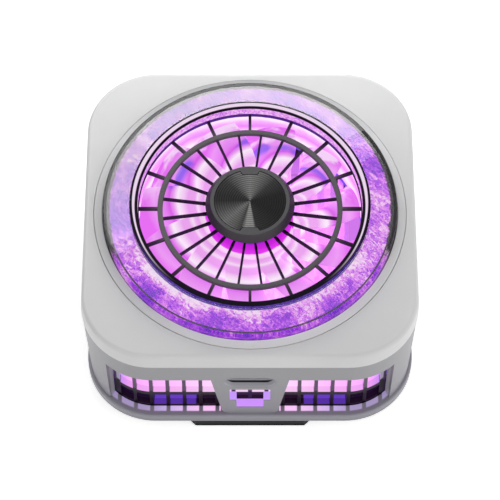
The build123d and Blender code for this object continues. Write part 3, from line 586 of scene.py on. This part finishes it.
def makeFanFinish():
    # milky blades in painted light of the well, with painted blue and pale patches of light at the back
    finish = Finish("fanMilky", Roughness=0.35, SpecularIORLevel=0.2, EmissionStrength=0.86)
    _, x, y, z = finish.where()
    radius = finish.radius(x, y)
    turn = finish.turn(x, y)
    byTurn, byRadius = fan["blueStretch"]
    blue = finish.noise(finish.joined(turn * byTurn, radius * byRadius, fan["blueAt"]), *fan["blueNoise"])
    blue = blue.step(*fan["blueSpots"]) * radius.band(*fan["blueRing"]) * y.step(*fan["blueFrom"])
    byTurn, byRadius = fan["paleStretch"]
    pale = finish.noise(finish.joined(turn * byTurn, radius * byRadius, fan["paleAt"]), *fan["paleNoise"])
    pale = pale.step(*fan["paleSpots"]) * radius.step(*fan["paleRing"]) * y.step(*fan["paleFrom"])
    patches = (blue * fan["blueShare"], "#6a52ee"), (pale * fan["paleShare"], "#fbe6fb")
    finish.shine(finish.layered(wellLight(finish, x, y, z), *patches), 0.2)
    return finish


duct = {"wisp": (0.20, 4.0, 0.6), "low": 21.0, "tall": 9.0, "waver": 0.34, "inside": (22.55, 22.6)}


def makeDuctFinish():
    # painted light that changes by height on the inside, black outside
    finish = Finish("ductLit", Roughness=0.4, SpecularIORLevel=0.2, EmissionStrength=0.9)
    point, x, y, z = finish.where()
    wisp = finish.noise(point, *duct["wisp"])
    up = (z - duct["low"]) / duct["tall"] + (wisp - 0.5) * duct["waver"]
    wall = finish.ramp(up, (0.0, "#6a3ae0"), (0.07, "#8c4cf2"), (0.14, "#f0b8ff"), (0.34, "#fff2ff"),
                       (0.48, "#f9c8ff"), (0.62, "#e68cfc"), (0.78, "#f3b2ff"), (0.93, "#fff0ff"))
    inside = finish.radius(x, y).drop(*duct["inside"])
    finish.shine(finish.mix(inside, "#0c0610", wall), 0.22)
    return finish


mount = {"sweep": (21.4, 21.7)}


def makeMountFinish():
    # motor plate between the duct and the heat sink, in painted light of the well, with painted violet light
    # outside the fan's sweep
    finish = Finish("mountLit", Roughness=0.4, SpecularIORLevel=0.2, EmissionStrength=0.86)
    _, x, y, z = finish.where()
    outside = finish.radius(x, y).step(*mount["sweep"])
    finish.shine(finish.mix(outside, wellLight(finish, x, y, z), "#5a3adf"), 0.2)
    return finish


hubCap = {"sides": (3.0, 8.0), "flank": (7.5, 7.7)}


def makeHubCapFinish():
    # dark ring with a flank in painted shade that darkens towards its sides
    finish = Finish("hubCapGrey", SpecularIORLevel=0.25)
    point, x, y, _ = finish.where()
    fine = satin(finish, point, 0.42, 0.008)
    flank = finish.mix(x.size().step(*hubCap["sides"]), "#454345", "#241e2a")
    top = finish.twoTone(fine, "#4b494b", "#464447")
    finish.put("BaseColor", finish.mix(finish.radius(x, y).step(*hubCap["flank"]), top, flank))
    return finish


rib = {"fine": (4.0, 3.0), "start": 7.0, "span": 15.0}


def makeRibFinish():
    # near black, paler beside the middle ring
    finish = Finish("ribDark", SpecularIORLevel=0.06)
    point, x, y, _ = finish.where()
    fine = finish.noise(point, *rib["fine"])
    share = (finish.radius(x, y) - rib["start"]) / rib["span"]
    shade = finish.ramp(share, (0.0, "#200a2c"), (0.62, "#301a3c"), (0.72, "#5a505a"), (0.84, "#3a2c40"),
                        (1.0, "#180a20"))
    finish.put("BaseColor", finish.mix((fine - 0.5).size(), shade, "#241a2a"))
    finish.put("Roughness", 0.45 + (fine - 0.5) * 0.1)
    return finish


mottled = (0.4, 0.6)  # change of tone on the rim and the collar, as a share of their noise
rim = {"mottle": (0.8, 4.0, 0.7), "step": (30.5, 30.7), "lowerWall": (22.1, 22.2), "upperWall": (21.9, 22.0),
       "edgeFrom": (6.0, 16.0), "edgeShare": 0.8}


def makeRimFinish():
    # rim of the guard: painted violet light on its edge above, painted light below
    finish = Finish("rimViolet", SpecularIORLevel=0.06, EmissionStrength=0.8)
    point, x, y, z = finish.where()
    radius = finish.radius(x, y)
    mottle = finish.noise(point, *rim["mottle"])
    lit = finish.ramp(mottle, (0.35, "#b070e8"), (0.50, "#f0c0ff"), (0.62, "#fff0ff"))
    lower = z.drop(*rim["step"]) * radius.drop(*rim["lowerWall"])
    edge = z.step(*rim["step"]) * radius.drop(*rim["upperWall"]) * y.step(*rim["edgeFrom"])
    glow = finish.layered("#000000", (lower, lit), (edge * rim["edgeShare"], "#5a2a9a"))
    finish.put("EmissionColor", glow)
    finish.put("BaseColor", finish.twoTone(mottle, "#0e0614", "#160a1e", mottled))
    return finish


collar = {
    "mottle": (1.6, 6.0, 0.78, 0.8), "wall": (21.72, 21.8), "wallTop": (33.1, 33.25),
    "outerWall": (22.72, 22.80), "back": (-18.0, -6.0), "lip": 22.42, "lipTop": (33.3, 33.4),
    "lipHalf": 0.14, "lipMore": 0.22, "lipGrowth": (-8.0, 10.0), "lipEdge": (-0.05, 0.08),
}


def makeCollarFinish():
    # dark collar round the well, with a pale painted highlight line on its lip, painted mottled light on its
    # walls and painted violet light on its outer wall at the front
    finish = Finish("collarDark", SpecularIORLevel=0.06, EmissionStrength=0.92)
    point, x, y, z = finish.where()
    radius = finish.radius(x, y)
    mottle = finish.noise(point, *collar["mottle"])
    lit = finish.ramp(mottle, (0.32, "#6a2ca2"), (0.41, "#c070ec"), (0.48, "#ee98f8"), (0.58, "#fac8fb"),
                      (0.66, "#fff2ff"))
    wall = radius.drop(*collar["wall"]) * z.drop(*collar["wallTop"])
    back = y.step(*collar["back"])
    outer = radius.step(*collar["outerWall"]) * (1 - back)
    half = collar["lipHalf"] + y.step(*collar["lipGrowth"]) * collar["lipMore"]
    offLip = (radius - collar["lip"]).size() - half
    lip = offLip.drop(*collar["lipEdge"]) * z.step(*collar["lipTop"]) * back
    outerTone = finish.twoTone(mottle, "#3a2480", "#6440ac", mottled)
    glow = finish.layered("#000000", (wall, lit), (outer, outerTone), (lip, "#f2dcf4"))
    finish.put("EmissionColor", glow)
    finish.put("BaseColor", finish.twoTone(mottle, "#0a0310", "#12061a", mottled))
    finish.put("Roughness", 0.25 + mottle * 0.1)
    return finish


hubPlate = {"grooves": 14.0, "grooveShare": 0.45, "bump": 0.5, "depth": 0.02}
# painted highlight: pale wedges of sheen on the turned disc, by the share of a turn from the left, past the
# front
paintedWedges = [(0.0, 0.03), (0.06, 0.10), (0.12, 0.20), (0.17, 0.14), (0.205, 0.06), (0.230, 0.34), (0.268, 0.34),
          (0.280, 0.04), (0.42, 0.02), (0.54, 0.02), (0.62, 0.05), (0.68, 0.15), (0.75, 0.24), (0.82, 0.15),
          (0.88, 0.05), (0.96, 0.03)]


def makeHubPlateFinish():
    # turned metal with fine grooves and painted highlight wedges
    finish = Finish("hubTurned", Metallic=1.0, Anisotropic=0.6)
    _, x, y, _ = finish.where()
    radius = finish.radius(x, y)
    groove = x.maths("SINE", radius * hubPlate["grooves"]) * 0.5 + 0.5
    paintedWedge = finish.ramp(finish.turn(x, y) / (2 * math.pi) + 0.5, *paintedWedges)
    colour = finish.mix(paintedWedge, "#101012", "#b4b4b2")
    finish.put("BaseColor", finish.mix(groove * hubPlate["grooveShare"], colour, "#08080a"))
    finish.put("Roughness", 0.30 + groove * 0.15)
    finish.bump(groove, hubPlate["bump"], hubPlate["depth"])
    return finish


guide = {"wisp": (0.35, 2.0), "waver": 0.04}


def makeGuideFinish():
    # milky bars, brightest in the middle of each wall
    finish = Finish("guideMilky", Roughness=0.35, SpecularIORLevel=0.2, EmissionStrength=0.95)
    point, x, y, _ = finish.where()
    wisp = finish.noise(point, *guide["wisp"])
    share = alongWall(x, y) / lights["reach"] + (wisp - 0.5) * guide["waver"]
    finish.shine(finish.ramp(share, *windowGlow), 0.2)
    return finish


grid = {
    "fine": (3.0, 3.0), "barRise": (11.7, 12.4), "barTop": ((11.60, 11.64), (11.66, 11.70)),
    "ends": ((24.9, 25.0), (25.8, 25.9)), "endsAbove": (12.4, 12.5), "foot": ((6.36, 6.38), (6.42, 6.44)),
}


def makeGridFinish():
    # smoked bars, paler in the upper row; painted light: the upper face of the middle bar takes the guide's
    # light, and the grid's ends and foot glow
    finish = Finish("gridSmoke", Roughness=0.3, SpecularIORLevel=0.15, EmissionStrength=0.9)
    point, x, y, z = finish.where()
    fine = finish.noise(point, *grid["fine"])
    along = alongWall(x, y)
    openings = behindBars(x, y)
    bars = finish.mix(z.step(*grid["barRise"]), "#16061c", "#5c4864")
    finish.put("BaseColor", finish.mix((fine - 0.5).size(), bars, "#2c1a34"))
    top = z.band(*grid["barTop"]) * openings
    ends = x.size().band(*grid["ends"]) * z.step(*grid["endsAbove"])
    foot = z.band(*grid["foot"]) * openings * along.band(*lights["lowRun"])
    lit = finish.ramp(along / lights["reach"], *windowGlow)
    finish.put("EmissionColor", finish.layered("#000000", (top, lit), (ends, "#8e889c"), (foot, "#5430a8")))
    return finish


def speckled(name, light, dark, roughness, scale=1.0, **constants):
    finish = Finish(name, **constants)
    fine = finish.noise(finish.place(), scale, 4.0)
    finish.put("BaseColor", finish.twoTone(fine, dark, light))
    finish.put("Roughness", roughness + (fine - 0.5) * 0.15)
    return finish


def makeMetal(name, light, dark, roughness, scale=1.0):
    return speckled(name, light, dark, roughness, scale, Metallic=1.0)


def makePlain(name, light, dark, roughness, scale=1.0):
    return speckled(name, light, dark, roughness, scale, SpecularIORLevel=0.2)


heat = {"litAbove": (8.8, 9.2), "wellAbove": (9.0, 16.0)}


def makeHeatFinish():
    # bare aluminium, in painted light from above, from the ring and the bars
    finish = speckled("heatAluminium", "#d4d4d8", "#bebec4", 0.35, Metallic=1.0, EmissionStrength=0.8)
    _, x, y, z = finish.where()
    lit = finish.mix(z.step(*heat["wellAbove"]), "#d478ee", wellLight(finish, x, y, z))
    finish.put("EmissionColor", finish.mix(z.step(*heat["litAbove"]), "#000000", lit))
    return finish


port = {"fine": (2.0, 3.0), "mouth": (-29.75, -29.65)}


def makePortFinish():
    # satin steel with painted light at the mouth of its recess
    finish = Finish("portSteel", Metallic=0.4, EmissionStrength=1.0)
    point, _, y, _ = finish.where()
    fine = finish.noise(point, *port["fine"])
    finish.put("BaseColor", finish.twoTone(fine, "#a6a6a9", "#b4b4b7"))
    finish.put("EmissionColor", finish.mix(y.drop(*port["mouth"]), "#000000", "#5a5a5e"))
    finish.put("Roughness", 0.4 + (fine - 0.5) * 0.1)
    return finish


coverFinish = mouldedPlastic("coverWhite", "#dedede", "#d9d9da", 0.38, 0.006)
shellFinish = makeShellFinish()
trayFinish = makeTrayFinish()
silverFinish = makeSilverFinish()
crystalFinish = makeCrystalFinish()
iceFinish = makeIceFinish()
fanFinish = makeFanFinish()
ductFinish = makeDuctFinish()
mountFinish = makeMountFinish()
grilleFinish = mouldedPlastic("grilleGrey", "#585658", "#4e4c4f", 0.42, 0.008, 0.25)
hubCapFinish = makeHubCapFinish()
ribFinish = makeRibFinish()
rimFinish = makeRimFinish()
collarFinish = makeCollarFinish()
hubPlateFinish = makeHubPlateFinish()
guideFinish = makeGuideFinish()
gridFinish = makeGridFinish()
footFinish = mouldedPlastic("footBlack", "#161618", "#121214", 0.55, 0.01, 0.12)
padFinish = mouldedPlastic("padBlack", "#151517", "#101012", 0.75, 0.02, 0.1)
steelFinish = makeMetal("steelBright", "#c4c4c8", "#b0b0b4", 0.28)
bronzeFinish = makeMetal("bronzeSintered", "#a8824e", "#8c6a3c", 0.45, 4.0)
copperFinish = makeMetal("copperWire", "#c0683c", "#a04e28", 0.30, 3.0)
heatFinish = makeHeatFinish()
plateFinish = makeMetal("coldPlate", "#d4d4d8", "#bebec4", 0.35)
nickelFinish = makeMetal("magnetNickel", "#c8c8c8", "#b8b8ba", 0.22)
boardFinish = makePlain("boardGreen", "#0c1c13", "#08140d", 0.5)
lampFinish = makePlain("lampWhite", "#f4ecd8", "#e8dcc0", 0.4)
chipFinish = makePlain("chipBlack", "#202022", "#18181a", 0.5)
portFinish = makePortFinish()
ceramicFinish = makePlain("ceramicWhite", "#e6e4e0", "#dcdad4", 0.5)
foamFinish = makePlain("foamBlack", "#262628", "#1a1a1c", 0.9, 6.0)
print("finishes are made")

# top cover: rounded square outside, round hole inside

cover = {"flare": 0.2, "lowEdge": 0.15, "edge": 0.9, "edgeSteps": 8, "rimFlat": 0.06, "hole": 30.2,
         "holeRound": 0.12, "holeSteps": 3, "lip": 29.45, "lipTop": 29.5, "under": 28.9, "inner": 30.7}


def makeCover():
    top, low, half = case["coverTop"], case["seam"], case["half"]
    edge, cut, bend = cover["edge"], cover["lowEdge"], cover["holeRound"]
    rows = [squareRow(half + cover["flare"] - cut, low), squareRow(half + cover["flare"], low + cut)]
    for step in range(cover["edgeSteps"] + 1):
        a = math.pi / 2 * step / cover["edgeSteps"]
        rows.append(squareRow(half - edge * (1 - math.cos(a)), top - edge * (1 - math.sin(a))))
    base = squareRow(half - edge - cover["rimFlat"], top)
    rows.append(base)
    for step in range(cover["holeSteps"] + 1):
        a = math.pi / 2 * step / cover["holeSteps"]
        rows.append(roundRow(base, cover["hole"] + bend * (1 - math.sin(a)), top - bend * (1 - math.cos(a))))
    rows.append(roundRow(base, cover["hole"], cover["lipTop"]))
    rows.append(roundRow(base, cover["lip"], cover["lipTop"]))
    rows.append(roundRow(base, cover["lip"], cover["under"]))
    rows.append(squareRow(cover["inner"], cover["under"]))
    rows.append(squareRow(cover["inner"], low))
    return evened(pieceOf("coverShell", meshFrom("coverShell", rows), coverFinish))


place(makeCover(), "top_cover", "cover_white")

# rings: bezel, clear lens, textured light ring and the dark collar round the well

rings = {
    "bezel": [(28.5, 29.5, 0), (30.1, 29.5, 0), (30.1, 30.6, 0.10), (28.5, 30.85, 0.12)],
    "lens": [(27.6, 29.4, 0), (28.4, 29.4, 0), (28.4, 32.4, 0.5), (23.16, 33.5, 0.10), (23.16, 32.72, 0),
             (27.6, 31.6, 0)],
    "ice": [(23.22, 30.1, 0), (27.62, 30.1, 0), (27.62, 31.52, 0), (23.22, 32.62, 0)],
    "collar": [(21.6, 31.4, 0), (23.2, 31.4, 0), (23.2, 33.5, 0.22), (21.6, 33.5, 0.22)],
    "segments": 256,
}


def makeRing(name, node, finish, slotName, outline):
    piece = evened(pieceOf(name, turnedMesh(name, outline, rings["segments"]), finish))
    place(piece, node, slotName)


makeRing("bezelRing", "bezel_ring", silverFinish, "ring_silver", rings["bezel"])
makeRing("crystalLens", "crystal_lens", crystalFinish, "crystal_clear", rings["lens"])
makeRing("iceRing", "ice_diffuser", iceFinish, "ice_violet", rings["ice"])
makeRing("wellCollar", "well_ring", collarFinish, "crystal_clear", rings["collar"])
print("cover and rings are made")

# fan grille: turned rings, and three sets of ribs from one Geometry Nodes tree

grille = {"top": 31.4, "thick": 0.8, "base": 29.7, "rim": (21.45, 23.2), "bore": 22.0,
          "middle": (16.85, 17.85), "hub": 7.4, "edge": 0.10, "outerCount": 16, "outerWidth": 0.55,
          "innerCount": 24, "innerWidth": 0.42, "footWidth": 0.50, "footSpan": (8.3, 9.2),
          "ribEdgeShare": 0.8, "ribDrop": 0.02, "ribBite": 0.3}


def newTree(name, floats, ints=()):
    tree = bpy.data.node_groups.new(name, "GeometryNodeTree")
    tree.interface.new_socket("Geometry", in_out="INPUT", socket_type="NodeSocketGeometry")
    for label in floats:
        tree.interface.new_socket(label, in_out="INPUT", socket_type="NodeSocketFloat")
    for label in ints:
        tree.interface.new_socket(label, in_out="INPUT", socket_type="NodeSocketInt")
    tree.interface.new_socket("Geometry", in_out="OUTPUT", socket_type="NodeSocketGeometry")
    return tree


def treeNode(tree, kind, settings=None, inputs=None):
    made = tree.nodes.new(kind)
    for key, value in (settings or {}).items():
        setattr(made, key, value)
    for key, value in (inputs or {}).items():
        if isinstance(value, bpy.types.NodeSocket):
            tree.links.new(value, made.inputs[key])
        else:
            made.inputs[key].default_value = value
    return made


def treeMaths(tree, operation, *terms):
    return treeNode(tree, "ShaderNodeMath", {"operation": operation}, dict(enumerate(terms))).outputs[0]


def treeVector(tree, x, y, z):
    return treeNode(tree, "ShaderNodeCombineXYZ", None, {0: x, 1: y, 2: z}).outputs[0]


def endTree(tree, geometry, finish):  # every tree ends in plain geometry with its material
    real = treeNode(tree, "GeometryNodeRealizeInstances", None, {0: geometry})
    inputs = {"Geometry": real.outputs[0], "Material": finish.material}
    dyed = treeNode(tree, "GeometryNodeSetMaterial", None, inputs)
    ending = tree.nodes.new("NodeGroupOutput")
    tree.links.new(dyed.outputs[0], ending.inputs[0])


def grown(name, tree, values, edge):  # piece that a tree makes with these input values
    piece = linked(name, bpy.data.meshes.new(name))
    modifier = piece.modifiers.new(name, "NODES")
    modifier.node_group = tree
    for item in tree.interface.items_tree:
        if item.in_out == "INPUT" and item.name in values:
            modifier[item.identifier] = values[item.name]
    flattened(piece)
    bevelled(piece, edge, meshCare["grownCrease"])
    piece.data.polygons.foreach_set("use_smooth", [True] * len(piece.data.polygons))
    return evened(piece)


def makeRibTree(finish):
    # blocks of one size, set round a circle and turned to point outwards
    tree = newTree("ribTree", ["Inner", "Outer", "Width", "Height", "Top", "Start"], ["Count"])
    start = tree.nodes.new("NodeGroupInput")
    given = start.outputs
    length = treeMaths(tree, "SUBTRACT", given["Outer"], given["Inner"])
    middle = treeMaths(tree, "MULTIPLY", treeMaths(tree, "ADD", given["Outer"], given["Inner"]), 0.5)
    size = treeVector(tree, length, given["Width"], given["Height"])
    block = treeNode(tree, "GeometryNodeMeshCube", None, {"Size": size})
    points = treeNode(tree, "GeometryNodePoints", None, {"Count": given["Count"]})
    index = treeNode(tree, "GeometryNodeInputIndex")
    share = treeMaths(tree, "DIVIDE", index.outputs[0], given["Count"])
    angle = treeMaths(tree, "ADD", treeMaths(tree, "MULTIPLY", share, 2 * math.pi), given["Start"])
    across = treeMaths(tree, "MULTIPLY", treeMaths(tree, "COSINE", angle), middle)
    deep = treeMaths(tree, "MULTIPLY", treeMaths(tree, "SINE", angle), middle)
    up = treeMaths(tree, "SUBTRACT", given["Top"], treeMaths(tree, "MULTIPLY", given["Height"], 0.5))
    inputs = {"Geometry": points.outputs[0], "Position": treeVector(tree, across, deep, up)}
    placed = treeNode(tree, "GeometryNodeSetPosition", None, inputs)
    inputs = {"Points": placed.outputs[0], "Instance": block.outputs[0],
              "Rotation": treeVector(tree, 0.0, 0.0, angle)}
    copies = treeNode(tree, "GeometryNodeInstanceOnPoints", None, inputs)
    endTree(tree, copies.outputs[0], finish)
    return tree


def joinedPiece(name, pieces):  # one object from several, each with its own material
    layer = bpy.context.view_layer
    for piece in layer.objects:
        piece.select_set(False)
    for piece in pieces:
        piece.select_set(True)
    layer.objects.active = pieces[0]
    bpy.ops.object.join()
    pieces[0].name = name
    return pieces[0]


def makeGrille():
    low = grille["top"] - grille["thick"]
    high = grille["top"]
    edge = grille["edge"]
    parts = []
    inner, outer = grille["rim"]
    outline = [(grille["bore"], grille["base"], 0), (outer, grille["base"], 0), (outer, high, 0),
               (inner, high, edge), (inner, low, edge), (grille["bore"], low, edge)]
    parts.append(evened(pieceOf("guardRim", turnedMesh("guardRim", outline), rimFinish)))
    inner, outer = grille["middle"]
    outline = [(inner, low, edge), (outer, low, edge), (outer, high, edge), (inner, high, edge)]
    parts.append(evened(pieceOf("guardMiddle", turnedMesh("guardMiddle", outline), grilleFinish)))
    outline = [(0.0, low, 0), (grille["hub"], low, edge), (grille["hub"], high, edge), (0.0, high, 0)]
    parts.append(pieceOf("guardHub", turnedMesh("guardHub", outline), ribFinish))
    tree = makeRibTree(ribFinish)
    bite = grille["ribBite"]
    between = math.pi / grille["innerCount"]  # half a step
    sets = {  # reach from the axis, width, count and the angle of the first
        "outerRibs": (grille["middle"][1] - bite, grille["rim"][0] + bite, grille["outerWidth"],
                      grille["outerCount"], 0.0),
        "innerRibs": (grille["hub"] - bite, grille["middle"][0] + bite, grille["innerWidth"],
                      grille["innerCount"], between),
        "ribFeet": (*grille["footSpan"], grille["footWidth"], grille["innerCount"], between),
    }
    for name, (inner, outer, width, count, start) in sets.items():
        values = {"Inner": inner * mm, "Outer": outer * mm, "Width": width * mm, "Count": count,
                  "Start": start, "Height": grille["thick"] * mm, "Top": (high - grille["ribDrop"]) * mm}
        parts.append(grown(name, tree, values, edge * grille["ribEdgeShare"]))
    return joinedPiece("fanGuard", parts)


place(makeGrille(), "fan_grille", "grille_grey")
dress("hubCap", "hub_cap", hubCapFinish, "grille_grey", 0.10)
dress("hubPlate", "hub_plate", hubPlateFinish, "hub_metal", 0.04)
print("grille and hub are made")

# fan, duct and motor plate, which glow with the light of the ring

dress("fanBlades", "impeller", fanFinish, "fan_milky", 0.10, "rotor", angle=40.0)
dress("ductRing", "fan_duct", ductFinish, "duct_black", 0.08)
dress("motorPlate", "motor_mount", mountFinish, "duct_black", 0.08)
print("fan and duct are made")

# waist, tray, foot, pad and window grids

dress("waistShell", "waist_shell", shellFinish, "shell_grey", 0.16)
dress("baseTray", "base_tray", trayFinish, "shell_grey", 0.12)
dress("magnetFoot", "magnet_foot", footFinish, "foot_black", 0.12, merge=False)
dress("contactPad", "contact_pad", padFinish, "pad_black", 0.15)
for side in ("front", "back", "left", "right"):
    dress(side + "Grid", side + "_grid", gridFinish, "grid_smoke", 0.0, merge=False)
print("shells and grids are made")

# CAD pieces that keep their mesh

kept = {
    "led_ring_board": boardFinish, "led_chips": lampFinish, "rotor_cup": steelFinish,
    "rotor_magnet": chipFinish, "fan_shaft": steelFinish, "bearing_sleeve": bronzeFinish,
    "motor_stator": steelFinish, "stator_coils": copperFinish, "front_light_guide": guideFinish,
    "back_light_guide": guideFinish, "left_light_guide": guideFinish, "right_light_guide": guideFinish,
    "guide_led_strips": lampFinish,
    "cold_plate": plateFinish, "peltier_module": ceramicFinish, "insulating_gasket": foamFinish,
    "heat_sink": heatFinish, "magnet_ring": nickelFinish, "port_shell": portFinish, "port_tongue": chipFinish,
    "main_board": boardFinish, "board_chips": chipFinish, "case_screws": steelFinish,
    "frame_screws": steelFinish, "heat_sink_screws": steelFinish, "board_screws": steelFinish,
}
for name, finish in kept.items():
    nodes[name].data.materials.clear()
    nodes[name].data.materials.append(finish.material)

# stage, light and camera

# floorHalf and boxAim, the height that the panels face, are in metres
stage = {"floorHalf": 1.2, "gap": 0.05, "floor": "#f4f4f4", "world": 0.41, "lift": 0.60, "boxAim": 0.02}


def whiteForEyes(tree, dull, bright):  # camera, glossy and transmission rays see the bright strength
    path = treeNode(tree, "ShaderNodeLightPath").outputs
    seen = treeMaths(tree, "MAXIMUM", path["Is Camera Ray"], path["Is Glossy Ray"])
    seen = treeMaths(tree, "MAXIMUM", seen, path["Is Transmission Ray"])
    inputs = {"Value": seen, "To Min": dull, "To Max": bright}
    return treeNode(tree, "ShaderNodeMapRange", None, inputs).outputs[0]


def makeStage():
    half = stage["floorHalf"]
    mesh = bpy.data.meshes.new("floor")
    low = -stage["gap"] * mm
    corners = [(-half, -half, low), (half, -half, low), (half, half, low), (-half, half, low)]
    mesh.from_pydata(corners, [], [(0, 1, 2, 3)])
    floor = linked("floor", mesh)
    finish = Finish("floorPale", BaseColor=tone(stage["floor"]), Roughness=0.9, SpecularIORLevel=0.1,
                    EmissionColor=tone("#ffffff"))
    lift = whiteForEyes(finish.tree, 0.0, stage["lift"])
    finish.tree.links.new(lift, finish.shader.inputs["Emission Strength"])
    mesh.materials.append(finish.material)
    world = bpy.context.scene.world or bpy.data.worlds.new("studio")
    bpy.context.scene.world = world
    world.use_nodes = True
    back = world.node_tree.nodes["Background"]
    back.inputs["Color"].default_value = (1.0, 1.0, 1.0, 1.0)
    world.node_tree.links.new(whiteForEyes(world.node_tree, stage["world"], 1.0), back.inputs["Strength"])


def softBox(name, wide, tall, radiance, spot, turned):  # area lamp, equally bright at any size
    lamp = bpy.data.lights.new(name, "AREA")
    lamp.shape = "RECTANGLE"
    lamp.size = wide
    lamp.size_y = tall
    lamp.energy = radiance * math.pi * wide * tall
    box = linked(name, lamp)
    box.matrix_world = Matrix.Translation(spot) @ turned.to_4x4()
    return box


def makePanel(name, direction, distance, wide, tall, radiance):  # soft box that faces the object
    away = Vector(direction).normalized()
    spot = away * distance + Vector((0, 0, stage["boxAim"]))
    box = softBox(name, wide, tall, radiance, spot, away.to_track_quat("Z", "Y").to_matrix())
    box.visible_glossy = False


panels = {  # direction, distance, width and height in metres, radiance
    "backPanel": ((0.03, 0.82, 0.50), 0.115, 0.13, 0.07, 2.7),
    "frontPanel": ((0.0, -0.55, 0.84), 0.8, 0.5, 0.5, 0.7),
    "leftPanel": ((-1.0, -0.8, 0.34), 0.8, 0.5, 0.5, 1.3),
    "rightPanel": ((1.0, -0.5, 0.42), 0.8, 0.5, 0.5, 2.6),
}
# in metres too; the ends of its edge and its centre are directions
mirror = {"edge": ((0.3135, 0.7327, 0.6055), (-0.427, 0.373, 0.824)), "centre": (-0.14, 0.66, 0.74),
          "distance": 0.6, "aim": 0.032, "wide": 0.9, "tall": 0.36, "radiance": 3.4}


def makeMirrorPanel():
    # soft box that only gloss shows: one long edge crosses the clear ring at half past one and at eight
    facing = Vector(mirror["centre"]).normalized()
    ends = [Vector(end) / Vector(end).dot(facing) * mirror["distance"] for end in mirror["edge"]]
    along = (ends[0] - ends[1]).normalized()
    back = facing.cross(along)
    back = back if back.y > 0 else -back
    middle = (ends[0] + ends[1]) / 2 + back * mirror["tall"] / 2
    spot = middle + Vector((0, 0, mirror["aim"]))
    turned = Matrix((along, facing.cross(along), facing)).transposed()
    box = softBox("mirrorPanel", mirror["wide"], mirror["tall"], mirror["radiance"], spot, turned)
    box.visible_diffuse = False


# millimetres and degrees; the target lies at pixel row aim of the square picture
view = {"distance": 453.7, "elevation": 59.2, "lens": 169.2, "sensor": 36.0, "picture": 500, "aim": 210.2,
        "target": (0.0, 0.0, 30.5), "clip": 10.0}


def makeCamera():
    camera = bpy.data.cameras.new("camera")
    camera.lens = view["lens"]
    camera.sensor_width = view["sensor"]
    camera.clip_start = view["clip"] * mm
    eye = linked("camera", camera)
    rise = math.radians(view["elevation"])
    away = Vector((0.0, -math.cos(rise), math.sin(rise)))
    eye.location = (Vector(view["target"]) + away * view["distance"]) * mm
    focal = view["lens"] / view["sensor"] * view["picture"]
    pitch = rise + math.atan((view["picture"] / 2 - view["aim"]) / focal)
    eye.rotation_euler = (math.pi / 2 - pitch, 0, 0)
    bpy.context.scene.camera = eye


makeStage()
makeMirrorPanel()
for name, settings in panels.items():
    makePanel(name, *settings)
makeCamera()
bpy.context.scene.view_settings.view_transform = "Standard"
print("stage, light and camera are set")
